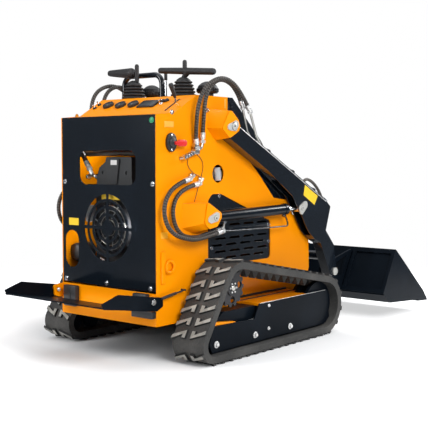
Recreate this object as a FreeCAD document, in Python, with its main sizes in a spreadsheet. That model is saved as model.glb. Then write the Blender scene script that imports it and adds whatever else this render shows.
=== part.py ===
"""Mini track loader: a stand-on rubber-tracked loader with a bucket, as a parametric assembly.

Millimetres, +X forwards, +Y to the left, +Z up.  Inside the document every outline is drawn from the
rear panel's face (x = 0), the middle plane (y = 0) and the ground (z = 0); each piece's Placement then
moves it back by centre_ahead, so that the origin is on the ground under the middle of the machine.
"""
import FreeCAD, Part
import math
import os
import Sketcher
from FreeCAD import Vector

SIZES = {
    # whole machine
    "centre_ahead": 910.5, "gap": 0.3,
    # body: two side plates, lower frame, rear panel, console, hood
    "body_half": 326, "side_wall": 6, "sheet": 4, "body_foot": 175, "body_nose": 1253,
    "nose_foot": 1180, "panel_foot": 336, "panel_top": 1153,
    "ledge_front": 125, "ledge_top": 1165, "slope_front": 280, "console_top": 1255,
    "console_front": 517, "console_skirt": 1190,
    # rear panel openings
    "window_half": 193, "window_foot": 826, "window_top": 990, "window_corner": 45,
    "grille_height": 617, "grille_radius": 163, "grille_rings": 4, "grille_hub": 26,
    "grille_bar": 14, "slot_side": 254, "slot_foot": 460, "slot_head": 546, "slot_radius": 50,
    # side plate openings
    "service_x": 444, "service_z": 876, "service_radius": 45,
    "vent_rear": 366, "vent_front": 883, "vent_foot": 420, "vent_top": 776, "vent_corner": 22,
    # arm pivot and cylinder pivots
    "arm_pivot_x": 471, "arm_pivot_z": 1108, "ear_face": 395, "ear_wall": 8, "pin_radius": 15,
    "heel_pin_x": 330, "heel_pin_z": 665, "knee_pin_x": 1086, "knee_pin_z": 681,
    "hitch_x": 1424, "hitch_z": 300, "flag": 5,
    # arms
    "arm_inner": 335, "arm_outer": 389, "arm_plate": 6, "arm_boss": 44,
    "arm_front_x": 1376, "arm_front_z": 676,
    "upper_tube_x": 1150, "upper_tube_z": 728, "upper_tube_radius": 26,
    "lower_tube_x": 1352, "lower_tube_z": 395, "lower_tube_radius": 25, "tube_wall": 5,
    "pipe_radius": 6,
    # lift cylinders
    "lift_side": 362, "lift_radius": 28, "lift_bore": 21, "rod_radius": 14, "lift_eye": 26,
    "lift_eye_width": 32, "lift_barrel_end": 643, "lift_rod_length": 590,
    # tilt cylinder
    "tilt_base_x": 1112, "tilt_base_z": 892, "tilt_top_x": 1560, "tilt_top_z": 440,
    "tilt_radius": 27, "tilt_barrel_end": 490, "tilt_rod_length": 425, "tilt_eye": 23,
    "tilt_eye_width": 58, "tilt_pin": 12, "bracket_inner": 34, "bracket_wall": 10,
    # bucket and hitch
    "bucket_half": 600, "bucket_sheet": 6, "bucket_side": 8, "bucket_top_x": 1773,
    "bucket_top_z": 407, "bucket_heel_x": 1627, "bucket_heel_z": 156, "bucket_sole_x": 1701,
    "bucket_sole_z": 104, "bucket_lip_x": 2176, "bucket_lip_z": 71, "cheek_x": 2122, "cheek_z": 131,
    "bucket_rib": 12, "cutting_edge": 8,
    "hitch_half": 310, "hitch_wall": 12, "hitch_plate": 12,
    # platform
    "hinge_x": -40, "hinge_z": 296, "platform_half": 337, "platform_side": 6, "platform_floor": 6,
    "platform_tail": -350, "platform_front": -78, "hinge_pin": 9,
    # tracks
    "track_inner": 360, "track_outer": 550, "belt": 34, "lug": 10, "lug_pitch": 64,
    "lug_column": 77, "sprocket_x": 350, "sprocket_z": 334, "sprocket_wrap": 94,
    "tail_x": 150, "tail_z": 94, "tail_wrap": 50, "idler_x": 1085, "idler_z": 165,
    "idler_wrap": 121, "roller_z": 94, "roller_wrap": 50,
    "tooth_half": 17, "tooth": 33, "track_clear": 0.5,
    "frame_face": 515, "frame_plate": 6, "frame_rear": 151, "frame_front": 1171, "frame_foot": 55,
    "frame_top": 237, "frame_step": 166, "frame_beam_inner": 400, "frame_setback": 84,
    # engine
    "engine_rear": 70, "engine_front": 470, "engine_half": 150, "cover_gap": 20, "cover_rise": 158,
    "cover_left": 57, "cover_right": 117, "fan_radius": 128, "fan_hub": 36, "fan_blades": 9,
    # controls
    "stick_x": 360, "stick_side": 172, "stick_rise": 126, "grip_radius": 14.5,
    "cap_x": 478, "cap_radius": 53, "rail_x": 420, "rail_rise": 127, "rail_radius": 14,
    # hoses
    "hose_radius": 10.5,
}

doc = FreeCAD.newDocument("mini_track_loader")
sheet = doc.addObject("Spreadsheet::Sheet", "sizes")
for row, (alias, number) in enumerate(SIZES.items(), start=1):
    sheet.set(f"A{row}", alias)
    sheet.set(f"B{row}", str(number))
    sheet.setAlias(f"B{row}", alias)
doc.recompute()


class Size:
    """A length as a number and as the spreadsheet expression that gives it."""

    def __init__(self, number, text):
        self.number = float(number)
        self.text = text

    @staticmethod
    def of(value):
        return value if isinstance(value, Size) else Size(value, repr(float(value)))

    def combine(self, other, sign, result):
        return Size(result, f"({self.text} {sign} {Size.of(other).text})")

    def __add__(self, other):
        return self.combine(other, "+", self.number + Size.of(other).number)

    def __sub__(self, other):
        return self.combine(other, "-", self.number - Size.of(other).number)

    def __mul__(self, other):
        return self.combine(other, "*", self.number * Size.of(other).number)

    def __truediv__(self, other):
        return self.combine(other, "/", self.number / Size.of(other).number)

    def __neg__(self):
        return Size(-self.number, f"(0 - {self.text})")

    def __radd__(self, other):
        return Size.of(other) + self

    def __rsub__(self, other):
        return Size.of(other) - self

    def __rmul__(self, other):
        return Size.of(other) * self

    def __float__(self):
        return self.number


class Sheet:
    """Reads the spreadsheet's cells by their aliases."""

    def __getattr__(self, alias):
        return Size(sheet.get(alias), f"sizes.{alias}")


S = Sheet()
PIECES = []


def bind(thing, path, value):
    """Bind a property of a document object to a length of the sheet."""
    thing.setExpression(path, Size.of(value).text)


def circle(u, v, radius):
    return ("circle", u, v, radius)


def mitred(points, distance):
    """The chain of points moved sideways by distance, to the left of its direction for a plus."""
    flat = [(float(u), float(v)) for u, v in points]
    moved = []
    for index, (u, v) in enumerate(flat):
        normals = []
        for a, b in ((index - 1, index), (index, index + 1)):
            if 0 <= a and b < len(flat):
                du, dv = flat[b][0] - flat[a][0], flat[b][1] - flat[a][1]
                length = math.hypot(du, dv)
                normals.append((-dv / length, du / length))
        nu = sum(n[0] for n in normals) / len(normals)
        nv = sum(n[1] for n in normals) / len(normals)
        scale = float(distance) / (nu * nu + nv * nv)
        moved.append((u + nu * scale, v + nv * scale))
    return moved


def strip(points, wall):
    """A closed outline of a bent sheet: the chain and its mitred copy."""
    return [(float(u), float(v)) for u, v in points] + mitred(points, wall)[::-1]


def between(start, stop, share):
    """The point that lies a share of the way from start to stop."""
    return tuple(float(a) + (float(b) - float(a)) * share for a, b in zip(start, stop))


def around(u, v, offsets):
    """Outline points given as offsets from an anchor, so that they move with it."""
    return [(u + du, v + dv) for du, dv in offsets]


def rounded(points, radius, steps=4):
    """The closed outline with each corner rounded; every new point stays tied to its corner."""
    flat = [Vector(float(u), float(v), 0) for u, v in points]
    result = []
    for index, (u, v) in enumerate(points):
        here = flat[index]
        back, ahead = flat[index - 1] - here, flat[(index + 1) % len(flat)] - here
        half = back.getAngle(ahead) / 2
        reach = min(float(radius) / math.tan(half), 0.45 * min(back.Length, ahead.Length))
        bend = reach * math.tan(half)
        back.normalize()
        ahead.normalize()
        centre = (back + ahead).normalize() * (bend / math.sin(half))
        first, last = back * reach - centre, ahead * reach - centre
        for step in range(steps + 1):
            share = step / steps
            spoke = (first * (1 - share) + last * share).normalize() * bend
            result.append((u + round(centre.x + spoke.x, 3), v + round(centre.y + spoke.y, 3)))
    return result


class Piece:
    """One sub-part: a PartDesign body built feature by feature."""

    def __init__(self, label):
        self.label = label
        self.body = doc.addObject("PartDesign::Body", label)
        self.body.Label = label
        bind(self.body, ".Placement.Base.x", -S.centre_ahead)
        PIECES.append(self.body)

    def plane(self, role):
        return next(f for f in self.body.Origin.OriginFeatures if f.Role == f"{role}_Plane")

    def sketch(self, role, height, loops, centre=(0, 0)):
        """Closed outlines on a plane parallel to an origin plane, height along its normal."""
        drawing = self.body.newObject("Sketcher::SketchObject", f"{self.label}_outline")
        drawing.AttachmentSupport = (self.plane(role), [""])
        drawing.MapMode = "FlatFace"
        bind(drawing, ".AttachmentOffset.Base.x", centre[0])
        bind(drawing, ".AttachmentOffset.Base.y", centre[1])
        bind(drawing, ".AttachmentOffset.Base.z", height)
        for loop in loops:
            if loop[0] == "circle":
                self.draw_circle(drawing, *loop[1:])
            else:
                self.draw_polygon(drawing, loop)
        return drawing

    @staticmethod
    def pin_point(drawing, curve, end, u, v):
        """Fix one point of a sketch at (u, v) from its origin."""
        for kind, value, axis in (("DistanceX", u, -2), ("DistanceY", v, -1)):
            size = Size.of(value)
            if abs(size.number) < 1e-9 and "sizes" not in size.text:
                drawing.addConstraint(Sketcher.Constraint("PointOnObject", curve, end, axis))
                continue
            index = drawing.addConstraint(
                Sketcher.Constraint(kind, -1, 1, curve, end, size.number))
            if "sizes" in size.text:
                drawing.setExpression(f"Constraints[{index}]", size.text)

    def draw_polygon(self, drawing, points):
        corners = [Vector(float(u), float(v), 0) for u, v in points]
        count = len(corners)
        first = drawing.GeometryCount
        for index, corner in enumerate(corners):
            drawing.addGeometry(Part.LineSegment(corner, corners[(index + 1) % count]), False)
        for index, (u, v) in enumerate(points):
            before = first + (index - 1) % count
            drawing.addConstraint(Sketcher.Constraint("Coincident", before, 2, first + index, 1))
            self.pin_point(drawing, first + index, 1, u, v)

    def draw_circle(self, drawing, u, v, radius):
        size = Size.of(radius)
        centre = Vector(float(u), float(v), 0)
        curve = drawing.addGeometry(Part.Circle(centre, Vector(0, 0, 1), size.number), False)
        self.pin_point(drawing, curve, 3, u, v)
        index = drawing.addConstraint(Sketcher.Constraint("Radius", curve, size.number))
        if "sizes" in size.text:
            drawing.setExpression(f"Constraints[{index}]", size.text)

    def feature(self, kind, drawing):
        made = self.body.newObject(f"PartDesign::{kind}", f"{self.label}_{kind.lower()}")
        if kind in ("Pad", "Pocket", "Revolution", "Groove", "AdditiveLoft"):
            made.Profile = drawing
        drawing.Visibility = False
        return made

    def pad(self, role, height, depth, *loops, both=False):
        """Material from height to height + depth along the plane's normal, or half each way."""
        made = self.feature("Pad", self.sketch(role, height, loops))
        bind(made, "Length", depth)
        made.Midplane = both
        return made

    def cut(self, role, height, depth, *loops, both=False):
        """Take away from height down to height - depth, or half each way."""
        made = self.feature("Pocket", self.sketch(role, height, loops))
        bind(made, "Length", depth)
        made.Midplane = both
        return made

    def turn(self, role, height, loop, axis="V_Axis", angle=360, centre=(0, 0)):
        """Turn an outline about the sketch's own upright or level axis."""
        drawing = self.sketch(role, height, [loop], centre)
        made = self.feature("Revolution", drawing)
        made.ReferenceAxis = (drawing, [axis])
        made.Angle = angle
        return made

    def loft(self, role, near, near_loop, far, far_loop):
        first = self.sketch(role, near, [near_loop])
        second = self.sketch(role, far, [far_loop])
        made = self.feature("AdditiveLoft", first)
        made.Sections = [second]
        made.Ruled = True
        second.Visibility = False
        return made


def shaped(label, shape):
    """A sub-part whose shape comes from Part's own functions."""
    made = doc.addObject("Part::Feature", label)
    made.Label = label
    made.Shape = shape
    bind(made, ".Placement.Base.x", -S.centre_ahead)
    PIECES.append(made)
    return made


def mirrored(label, source):
    """The left-hand twin of a right-hand sub-part."""
    made = doc.addObject("Part::Mirroring", label)
    made.Label = label
    made.Source = source
    made.Normal = Vector(0, 1, 0)
    PIECES.append(made)
    return made


def both_sides(label, *sources):
    """One sub-part of like pieces: the right-hand ones and their left-hand twins."""
    members = []
    for source in sources:
        members += [source, mirrored(f"{source.Label}_twin", source)]
    for member in members:
        PIECES.remove(member)
    made = doc.addObject("Part::Compound", label)
    made.Label = label
    made.Links = members
    PIECES.append(made)
    return made


def gathered(label, *sources):
    """One sub-part of several separate pieces."""
    for source in sources:
        PIECES.remove(source)
    made = doc.addObject("Part::Compound", label)
    made.Label = label
    made.Links = list(sources)
    PIECES.append(made)
    return made


# ---------------------------------------------------------------- body plates

def side_outline():
    """The side plate's edge, from the rear foot round by the console and the sloping nose."""
    return [
        (0, S.body_foot), (0, S.panel_top), (S.ledge_front, S.ledge_top),
        (S.slope_front, S.console_top), (S.console_front, S.console_top),
        (S.console_front, S.console_skirt),
        *around(S.console_front, S.console_skirt, [(16, -154), (145, -223), (271, -329),
                                                   (395, -450)]),
        *around(S.body_nose, S.panel_foot, [(-186, 385), (-173, 307), (-73, 295), (-8, 206),
                                            (0, 0)]),
        (S.nose_foot, S.body_foot),
    ]


def vent_outline():
    """The opening for the louvred panel: square below, and sloping down forwards above."""
    return rounded([
        (S.vent_rear, S.vent_foot), (S.vent_rear, S.vent_top - 30),
        (S.vent_rear + 30, S.vent_top), (S.vent_rear + 100, S.vent_top),
        (S.vent_front, S.vent_top - 156), (S.vent_front, S.vent_foot)], S.vent_corner)


def side_plate():
    piece = Piece("side_plate_right")
    inner = S.body_half - S.side_wall
    piece.pad("XZ", inner, S.side_wall, side_outline())
    root, top = S.body_half - 1, S.ear_face
    # upper ear: bent housing behind the arm's end, then the plate that carries the pin
    x, z = S.arm_pivot_x, S.arm_pivot_z
    base = [(-9, 84), (-109, 82), (-115, -10), (-51, -68)]
    head = [(-16, 76), (-33, 75), (-89, -12), (-30, -58)]
    piece.loft("XZ", root, around(x, z, strip(base, 6)), top, around(x, z, strip(head, 6)))
    plate = [(-33, 75), (-16, 76), (36, 34), (51, 3), (40, -23), (-30, -58), (-89, -12)]
    piece.pad("XZ", top, S.ear_wall, rounded(around(x, z, plate), 14))
    # lower ear for the lift cylinder
    x, z = S.heel_pin_x, S.heel_pin_z
    base = [(-47, 80), (-154, 73), (-158, -45), (-80, -73)]
    head = [(-47, 75), (-62, 73), (-78, -22), (-43, -50)]
    piece.loft("XZ", root, around(x, z, strip(base, 6)), top, around(x, z, strip(head, 6)))
    plate = [(-57, 77), (-47, 75), (47, 23), (47, -1), (15, -41), (-43, -50), (-78, -22)]
    piece.pad("XZ", top, S.ear_wall, rounded(around(x, z, plate), 12))
    hole = S.pin_radius + S.gap
    outer = S.ear_face + S.ear_wall
    piece.cut("XZ", outer, outer - inner, circle(S.arm_pivot_x, S.arm_pivot_z, hole),
              circle(S.heel_pin_x, S.heel_pin_z, hole))
    piece.cut("XZ", S.body_half, S.side_wall, circle(S.service_x, S.service_z, S.service_radius))
    piece.cut("XZ", S.body_half, S.side_wall, vent_outline())
    mirrored("side_plate_left", piece.body)


def side_vent():
    """Louvred black panel that fills the side plate's opening, with rows of short slots."""
    piece = Piece("side_vent")
    inner = S.body_half - S.side_wall
    margin = 14
    piece.pad("XZ", inner - S.sheet, S.sheet, [
        (S.vent_rear - margin, S.vent_foot - margin), (S.vent_rear - margin, S.vent_top),
        (S.vent_rear + 20, S.vent_top + margin), (S.vent_rear + 106, S.vent_top + margin),
        (S.vent_front + margin, S.vent_top - 150), (S.vent_front + margin, S.vent_foot - margin)])
    rows, row_pitch, slot_pitch, slot_length, slot_width = 6, 33, 116, 94, 11
    for row in range(rows):
        foot = S.vent_foot + 28 + row_pitch * row
        for place in range(4):
            rear = S.vent_rear + 26 + slot_pitch * place + (slot_pitch / 4) * (row % 2)
            if float(rear) + slot_length > float(S.vent_front) - 8:
                continue
            piece.cut("XZ", inner, S.sheet, [
                (rear, foot), (rear + slot_length, foot),
                (rear + slot_length - slot_width, foot + slot_width),
                (rear + slot_width, foot + slot_width)])
    both_sides("side_vents", piece.body)


def lower_frame():
    """Belly plate, the rear lip with its two ears for the platform, and a bent foot inside."""
    piece = Piece("lower_frame")
    half = S.body_half - S.side_wall
    front = S.nose_foot - 4
    piece.pad("XY", S.body_foot, S.side_wall,
              [(0, -half), (front, -half), (front, half), (0, half)])
    piece.pad("YZ", -S.sheet, S.sheet,
              [(-S.body_half, S.body_foot), (S.body_half, S.body_foot),
               (S.body_half, S.panel_foot - 8), (-S.body_half, S.panel_foot - 8)])
    ear = rounded([(-S.sheet + 1, S.hinge_z - 46), (S.hinge_x - 22, S.hinge_z - 28),
                   (S.hinge_x - 28, S.hinge_z + 22), (-S.sheet + 1, S.hinge_z + 30)], 12)
    ear_wall = 8
    for near in (S.body_half - ear_wall, -S.body_half):
        piece.pad("XZ", near, ear_wall, ear)
    piece.cut("XZ", S.body_half, S.body_half * 2, circle(S.hinge_x, S.hinge_z, S.hinge_pin + S.gap))


def annular_slot(inner, outer, start, stop):
    """One arc slot: two arcs and two ends, about the origin."""
    def spot(radius, angle):
        return Vector(0, radius * math.cos(angle), radius * math.sin(angle))
    middle = (start + stop) / 2
    edges = [
        Part.Arc(spot(outer, start), spot(outer, middle), spot(outer, stop)).toShape(),
        Part.LineSegment(spot(outer, stop), spot(inner, stop)).toShape(),
        Part.Arc(spot(inner, stop), spot(inner, middle), spot(inner, start)).toShape(),
        Part.LineSegment(spot(inner, start), spot(outer, start)).toShape(),
    ]
    return Part.Wire(edges)


def rear_panel():
    """Black panel between the side plates: a window, a ringed grille and a round-ended slot."""
    half = float(S.body_half - S.side_wall - S.gap)
    wall = float(S.sheet)
    foot, top = float(S.panel_foot), float(S.panel_top)
    plate = Part.makeBox(wall, 2 * half, top - foot, Vector(0, -half, foot))
    through = wall * 3
    width, low, high = float(S.window_half), float(S.window_foot), float(S.window_top)
    window = Part.makeBox(through, 2 * width, high - low, Vector(-wall, -width, low))
    along = [e for e in window.Edges if abs(e.tangentAt(e.FirstParameter).x) > 0.9]
    cutters = [window.makeFillet(float(S.window_corner), along)]
    rings, hub = int(float(S.grille_rings)), float(S.grille_hub)
    pitch = (float(S.grille_radius) - hub) / rings
    web = 0.36
    for ring in range(rings):
        inner = hub + (ring + web) * pitch
        lean = math.asin(float(S.grille_bar) / 2 / inner)
        for quarter in range(4):
            start = quarter * math.pi / 2 + lean
            wire = annular_slot(inner, hub + (ring + 1) * pitch, start,
                                start + math.pi / 2 - 2 * lean)
            wire.translate(Vector(-wall, 0, float(S.grille_height)))
            cutters.append(Part.Face(wire).extrude(Vector(through, 0, 0)))
    side, low, high = float(S.slot_side), float(S.slot_foot), float(S.slot_head)
    radius = float(S.slot_radius)
    cutters.append(Part.makeBox(through, 2 * radius, high - low, Vector(-wall, side - radius, low)))
    for height in (low, high):
        cutters.append(Part.makeCylinder(radius, through, Vector(-wall, side, height),
                                         Vector(1, 0, 0)))
    shaped("rear_panel", plate.cut(cutters))


def console():
    """Bent sheet: the ledge behind the controls, the sloping dashboard and the top."""
    piece = Piece("console")
    chain = [(S.sheet + 1, S.panel_top - 2), (S.ledge_front, S.ledge_top),
             (S.slope_front, S.console_top), (S.console_front, S.console_top),
             (S.console_front, S.console_skirt)]
    piece.pad("XZ", 0, (S.body_half - S.side_wall) * 2, strip(chain, -S.sheet), both=True)


def front_hood():
    """Black hood from the console down the nose, hollow below."""
    piece = Piece("front_hood")
    x, z = S.console_front, S.console_top
    nose, foot = S.body_nose, S.body_foot + S.side_wall
    top = [*around(x, z, [(1, 0), (47, 0), (102, -49), (184, -121), (289, -215), (483, -455)]),
           *around(nose, S.panel_foot, [(-193, 380), (-63, 134)]), (nose - 63, foot)]
    inside = mitred(top, -S.sheet)
    under = [*around(nose, S.panel_foot, [(-113, 124), (-213, 304), (-353, 364), (-473, 484)]),
             *around(x, z, [(123, -325), (20, -255), (1, -155)])]
    width = (S.body_half - S.side_wall) * 2
    piece.pad("XZ", 0, width, top + [(nose - 103, foot)] + under, both=True)
    hollow = [(x - 9, inside[0][1]), *inside[1:-1], (inside[-1][0], S.body_foot - 9),
              (nose - 153, S.body_foot - 9), *around(x, z, [(83, -555), (-9, -355)])]
    piece.cut("XZ", 0, width - S.sheet * 2, hollow, both=True)


def engine():
    """The engine as one plain block, and the moulded cover on it."""
    piece = Piece("engine")
    half, foot = S.engine_half, S.body_foot + S.side_wall
    top = S.grille_height + S.grille_radius + S.cover_gap
    rear, front = S.engine_rear, S.engine_front
    piece.pad("XY", foot, top - foot,
              [(rear, -half), (front, -half), (front, half), (rear, half)])
    cover = Piece("engine_cover")
    left, right, rise = S.cover_left, -S.cover_right, S.cover_rise
    outline = [(left + 73, top), (left + 62, top + rise * 0.42), (left + 47, top + rise * 0.68),
               (left + 5, top + rise * 0.85), (left, top + rise), (right, top + rise),
               (right, top + rise * 0.4), (right - 10, top)]
    cover.pad("YZ", rear - 20, 330, rounded(outline, 10))
    # raised middle panel between two shallow grooves
    panel = [(left - 24, top + 26), (left - 4, top + rise - 8), (right + 76, top + rise - 8),
             (right + 96, top + 26)]
    cover.pad("YZ", rear - 28, 10, rounded(panel, 8))
    for side in (left + 24, right + 34):
        cover.cut("YZ", rear - 14, 10, circle(side, top + rise * 0.52, 9))


def fan_cowl():
    """Cooling fan behind the grille: back plate, ring, hub and slanted blades."""
    rear, height = float(S.engine_rear), float(S.grille_height)
    radius, hub, depth = float(S.fan_radius), float(S.fan_hub), 50.0
    axis, foot = Vector(1, 0, 0), Vector(rear - depth, 0, height)
    wall = float(S.sheet)
    shape = Part.makeCylinder(radius, depth, foot, axis).cut(
        Part.makeCylinder(radius - wall, depth - wall, foot, axis))
    shape = shape.fuse(Part.makeCylinder(hub, depth - 6, foot + Vector(6, 0, 0), axis))
    blade = Part.makeBox(wall, 2 * hub * 0.7, radius - hub - 4,
                         Vector(-wall / 2, -hub * 0.7, hub - 6))
    blade.rotate(Vector(0, 0, 0), Vector(0, 0, 1), 55)
    blade.translate(foot + Vector(depth / 2, 0, 0))
    count = int(float(S.fan_blades))
    blades = []
    for turn in range(count):
        copy = blade.copy()
        copy.rotate(foot, axis, 360 * turn / count)
        blades.append(copy)
    shaped("fan_cowl", shape.fuse(blades).removeSplitter())


def filler_cap():
    """Two domed filler caps on their necks."""
    caps = []
    for label, side in (("fuel_cap", -229), ("oil_cap", 156)):
        piece = Piece(label)
        caps.append(piece.body)
        base, rim = S.console_top, S.cap_radius
        piece.turn("XZ", -side, [(0, base), (rim - 23, base), (rim - 23, base + 20),
                                 (rim - 3, base + 22), (rim, base + 28), (rim, base + 44),
                                 (rim - 6, base + 58), (rim - 22, base + 72),
                                 (rim - 38, base + 79), (0, base + 81)], centre=(S.cap_x, 0))
    gathered("filler_caps", *caps)


def spun(outline, foot, axis=(0, 0, 1)):
    """A solid of revolution: (radius, height) pairs about the axis that starts at foot."""
    face = Part.Face(Part.makePolygon([Vector(r, 0, h) for r, h in outline + outline[:1]]))
    solid = face.revolve(Vector(0, 0, 0), Vector(0, 0, 1), 360)
    solid.Placement = FreeCAD.Placement(Vector(*foot), FreeCAD.Rotation(Vector(0, 0, 1),
                                                                        Vector(*axis)))
    return solid


def joysticks():
    """Ribbed boots; the right stick has a full cross grip, the left one a tapered outer half."""
    base, x, side = float(S.console_top), float(S.stick_x), float(S.stick_side)
    height, grip = base + float(S.stick_rise), float(S.grip_radius)
    rings = [(0, 0)]
    for ring, radius in enumerate((62, 59, 55, 50, 44)):
        low = 16 * ring
        rings += [(radius - 8, low), (radius, low + 5), (radius + 1, low + 8),
                  (radius, low + 11), (radius - 8, low + 15)]
    rings += [(34, 84), (22, 93), (11, 98), (0, 98)]
    level = [(0, 0), (9, 0), (grip - 1, 4), (grip + 0.5, 12), (grip + 2.5, 180), (grip + 2, 352),
             (grip, 361), (9, 367), (0, 367)]
    right = [spun(level, (x, 163 - side, height + 13), (0, -1, -0.072)),
             Part.makeCone(11, 17, height - base - 88, Vector(x, -side, base + 92),
                           Vector(0, -30, height - base - 92)),
             spun([(0, 0), (11, 0), (11, 46), (8, 53), (0, 56)], (x, -side - 9, height))]
    paddle = [(0, 0), (10, 0), (grip, 5), (grip + 2, 14), (28, 168), (26, 176), (18, 182),
              (12, 184), (12, 200), (0, 200)]
    left = [spun(paddle, (x, side + 185, height + 20), (0, -1, -0.058)),
            spun([(0, 0), (11, 0), (11, 80), (8, 88), (0, 91)], (x, side - 23, base + 91))]
    gathered("joysticks", *[
        shaped(label, spun(rings, (x, place, base)).fuse(parts).removeSplitter())
        for label, place, parts in (("joystick_right", -side, right),
                                    ("joystick_left", side, left))])


# ---------------------------------------------------------------- bent tubes and hoses

def bent_path(points, tightest=None):
    """Straight runs joined by tangent arcs; returns the wire and the arcs' radii."""
    spots = [Vector(*[float(c) for c in p]) for p in points]
    edges, radii, start = [], [], spots[0]
    for before, corner, after in zip(spots, spots[1:], spots[2:]):
        back, ahead = (before - corner), (after - corner)
        turn = math.pi - back.getAngle(ahead)
        reach = 0.45 * min(back.Length, ahead.Length)
        if tightest:
            reach = min(reach, tightest * math.tan(turn / 2))
        radius = reach / math.tan(turn / 2)
        back.normalize()
        ahead.normalize()
        first, last = corner + back * reach, corner + ahead * reach
        inwards = (back + ahead).normalize()
        middle = corner + inwards * (radius / math.cos(turn / 2) - radius)
        edges.append(Part.LineSegment(start, first).toShape())
        edges.append(Part.Arc(first, middle, last).toShape())
        radii.append(radius)
        start = last
    edges.append(Part.LineSegment(start, spots[-1]).toShape())
    return Part.Wire(edges), radii


def tube(points, radius, tightest=None):
    """A round bar along a bent path."""
    path, radii = bent_path(points, tightest)
    start = path.Edges[0]
    normal = start.tangentAt(start.FirstParameter)
    ring = Part.Wire(Part.Circle(start.valueAt(start.FirstParameter), normal,
                                 float(radius)).toShape())
    solid = path.makePipeShell([ring], True, False)
    ideal = math.pi * float(radius) ** 2 * path.Length
    if abs(solid.Volume / ideal - 1) > 0.01:
        raise ValueError("a bent tube's volume is off")
    return solid, radii


HOSES_RIGHT = {
    "hose_arm_front": [(301, -348, 1071), (304, -351, 1152), (313, -355, 1250), (359, -359, 1315),
                       (440, -359, 1341), (537, -359, 1304), (579, -359, 1238)],
    "hose_arm_rear": [(252, -348, 1041), (234, -363, 1144), (253, -377, 1252), (315, -385, 1319),
                      (427, -384, 1347), (538, -384, 1297), (602, -384, 1216)],
    "hose_lift_rear": [(169, -350, 846), (73, -357, 824), (-2, -364, 726), (37, -371, 609),
                       (185, -378, 565), (288, -382, 575), (374, -381, 590)],
    "hose_lift_front": [(240, -346, 825), (129, -348, 806), (71, -351, 702), (121, -353, 594),
                        (239, -355, 571), (334, -356, 591), (399, -356, 596)],
}


def hoses():
    """Eight hoses: four routes on the right and their mirror images on the left."""
    for name, route in HOSES_RIGHT.items():
        for side, sign in (("right", 1), ("left", -1)):
            points = [(x, y * sign, z) for x, y, z in route]
            solid, radii = tube(points, S.hose_radius)
            print(f"{name}_{side} radii", " ".join(f"{r:.0f}" for r in radii))
            shaped(f"{name}_{side}", solid)


def grab_bar():
    """Bent rail on the console's top."""
    base, x = float(S.console_top), float(S.rail_x)
    top = base + float(S.rail_rise)
    solid, _ = tube([(x, 28, base), (x, 28, top), (x, 300, top), (x, 300, base)], S.rail_radius,
                    tightest=52)
    shaped("grab_bar", solid)


# ---------------------------------------------------------------- arms

def arm():
    """One arm: a hollow box, open below at the knee, where the lift cylinder's eye goes in."""
    piece = Piece("arm_right")
    width = S.arm_outer - S.arm_inner
    pivot = (S.arm_pivot_x, S.arm_pivot_z)
    front, knee = (S.arm_front_x, S.arm_front_z), (S.knee_pin_x, S.knee_pin_z)
    hitch = (S.hitch_x, S.hitch_z)
    top = [*around(*pivot, [(-5, -63), (-31, -22), (-25, 22), (5, 30), (50, 8)]),
           *around(*front, [(-38, 30), (0, 0), (-46, -134)])]
    leg = around(*hitch, [(-10, 156), (15, 34), (14, -14), (0, -28), (-20, -27), (-42, -15),
                          (-148, 176)])
    inner = around(*knee, [(130, -180), (70, -135), (30, -85), (1, -41), (-90, 69), (-312, 208)])
    piece.pad("XZ", S.arm_inner, width, top + leg + inner)
    piece.pad("XZ", S.arm_inner, width, circle(*pivot, S.arm_boss))
    hollow = [*around(*pivot, [(64, -7), (303, -126)]), *around(*front, [(-46, 24), (-12, -8),
                                                                        (-60, -138)]),
              *around(*knee, [(169, -121), (114, -161), (34, -141), (-46, -26), (-101, 67),
                              (-226, 154), (-312, 217)]), *around(*pivot, [(64, -90)])]
    piece.cut("XZ", S.arm_outer - S.arm_plate, width - S.arm_plate * 2, hollow)
    hole = S.pin_radius + S.gap
    piece.cut("XZ", S.arm_outer, width, circle(*pivot, hole), circle(*hitch, hole))
    mirrored("arm_left", piece.body)


def arm_cross():
    """Two cross tubes between the arms, with the tilt cylinder's bracket on the upper one."""
    piece = Piece("arm_cross")
    width = S.arm_inner * 2
    for x, z, radius in ((S.upper_tube_x, S.upper_tube_z, S.upper_tube_radius),
                         (S.lower_tube_x, S.lower_tube_z, S.lower_tube_radius)):
        piece.pad("XZ", 0, width, circle(x, z, radius), circle(x, z, radius - S.tube_wall),
                  both=True)
    x, z = S.tilt_base_x, S.tilt_base_z
    ear = [*around(x, z, [(-24, 0), (-14, 22), (14, 22), (26, 0)]),
           *around(S.upper_tube_x, S.upper_tube_z, [(30, 18), (20, -8), (-20, -8), (-36, 18)])]
    for near in (S.bracket_inner, -S.bracket_inner - S.bracket_wall):
        piece.pad("XZ", near, S.bracket_wall, ear)
    piece.pad("XZ", 0, (S.bracket_inner + S.bracket_wall + 6) * 2, circle(x, z, S.tilt_pin),
              both=True)


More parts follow.
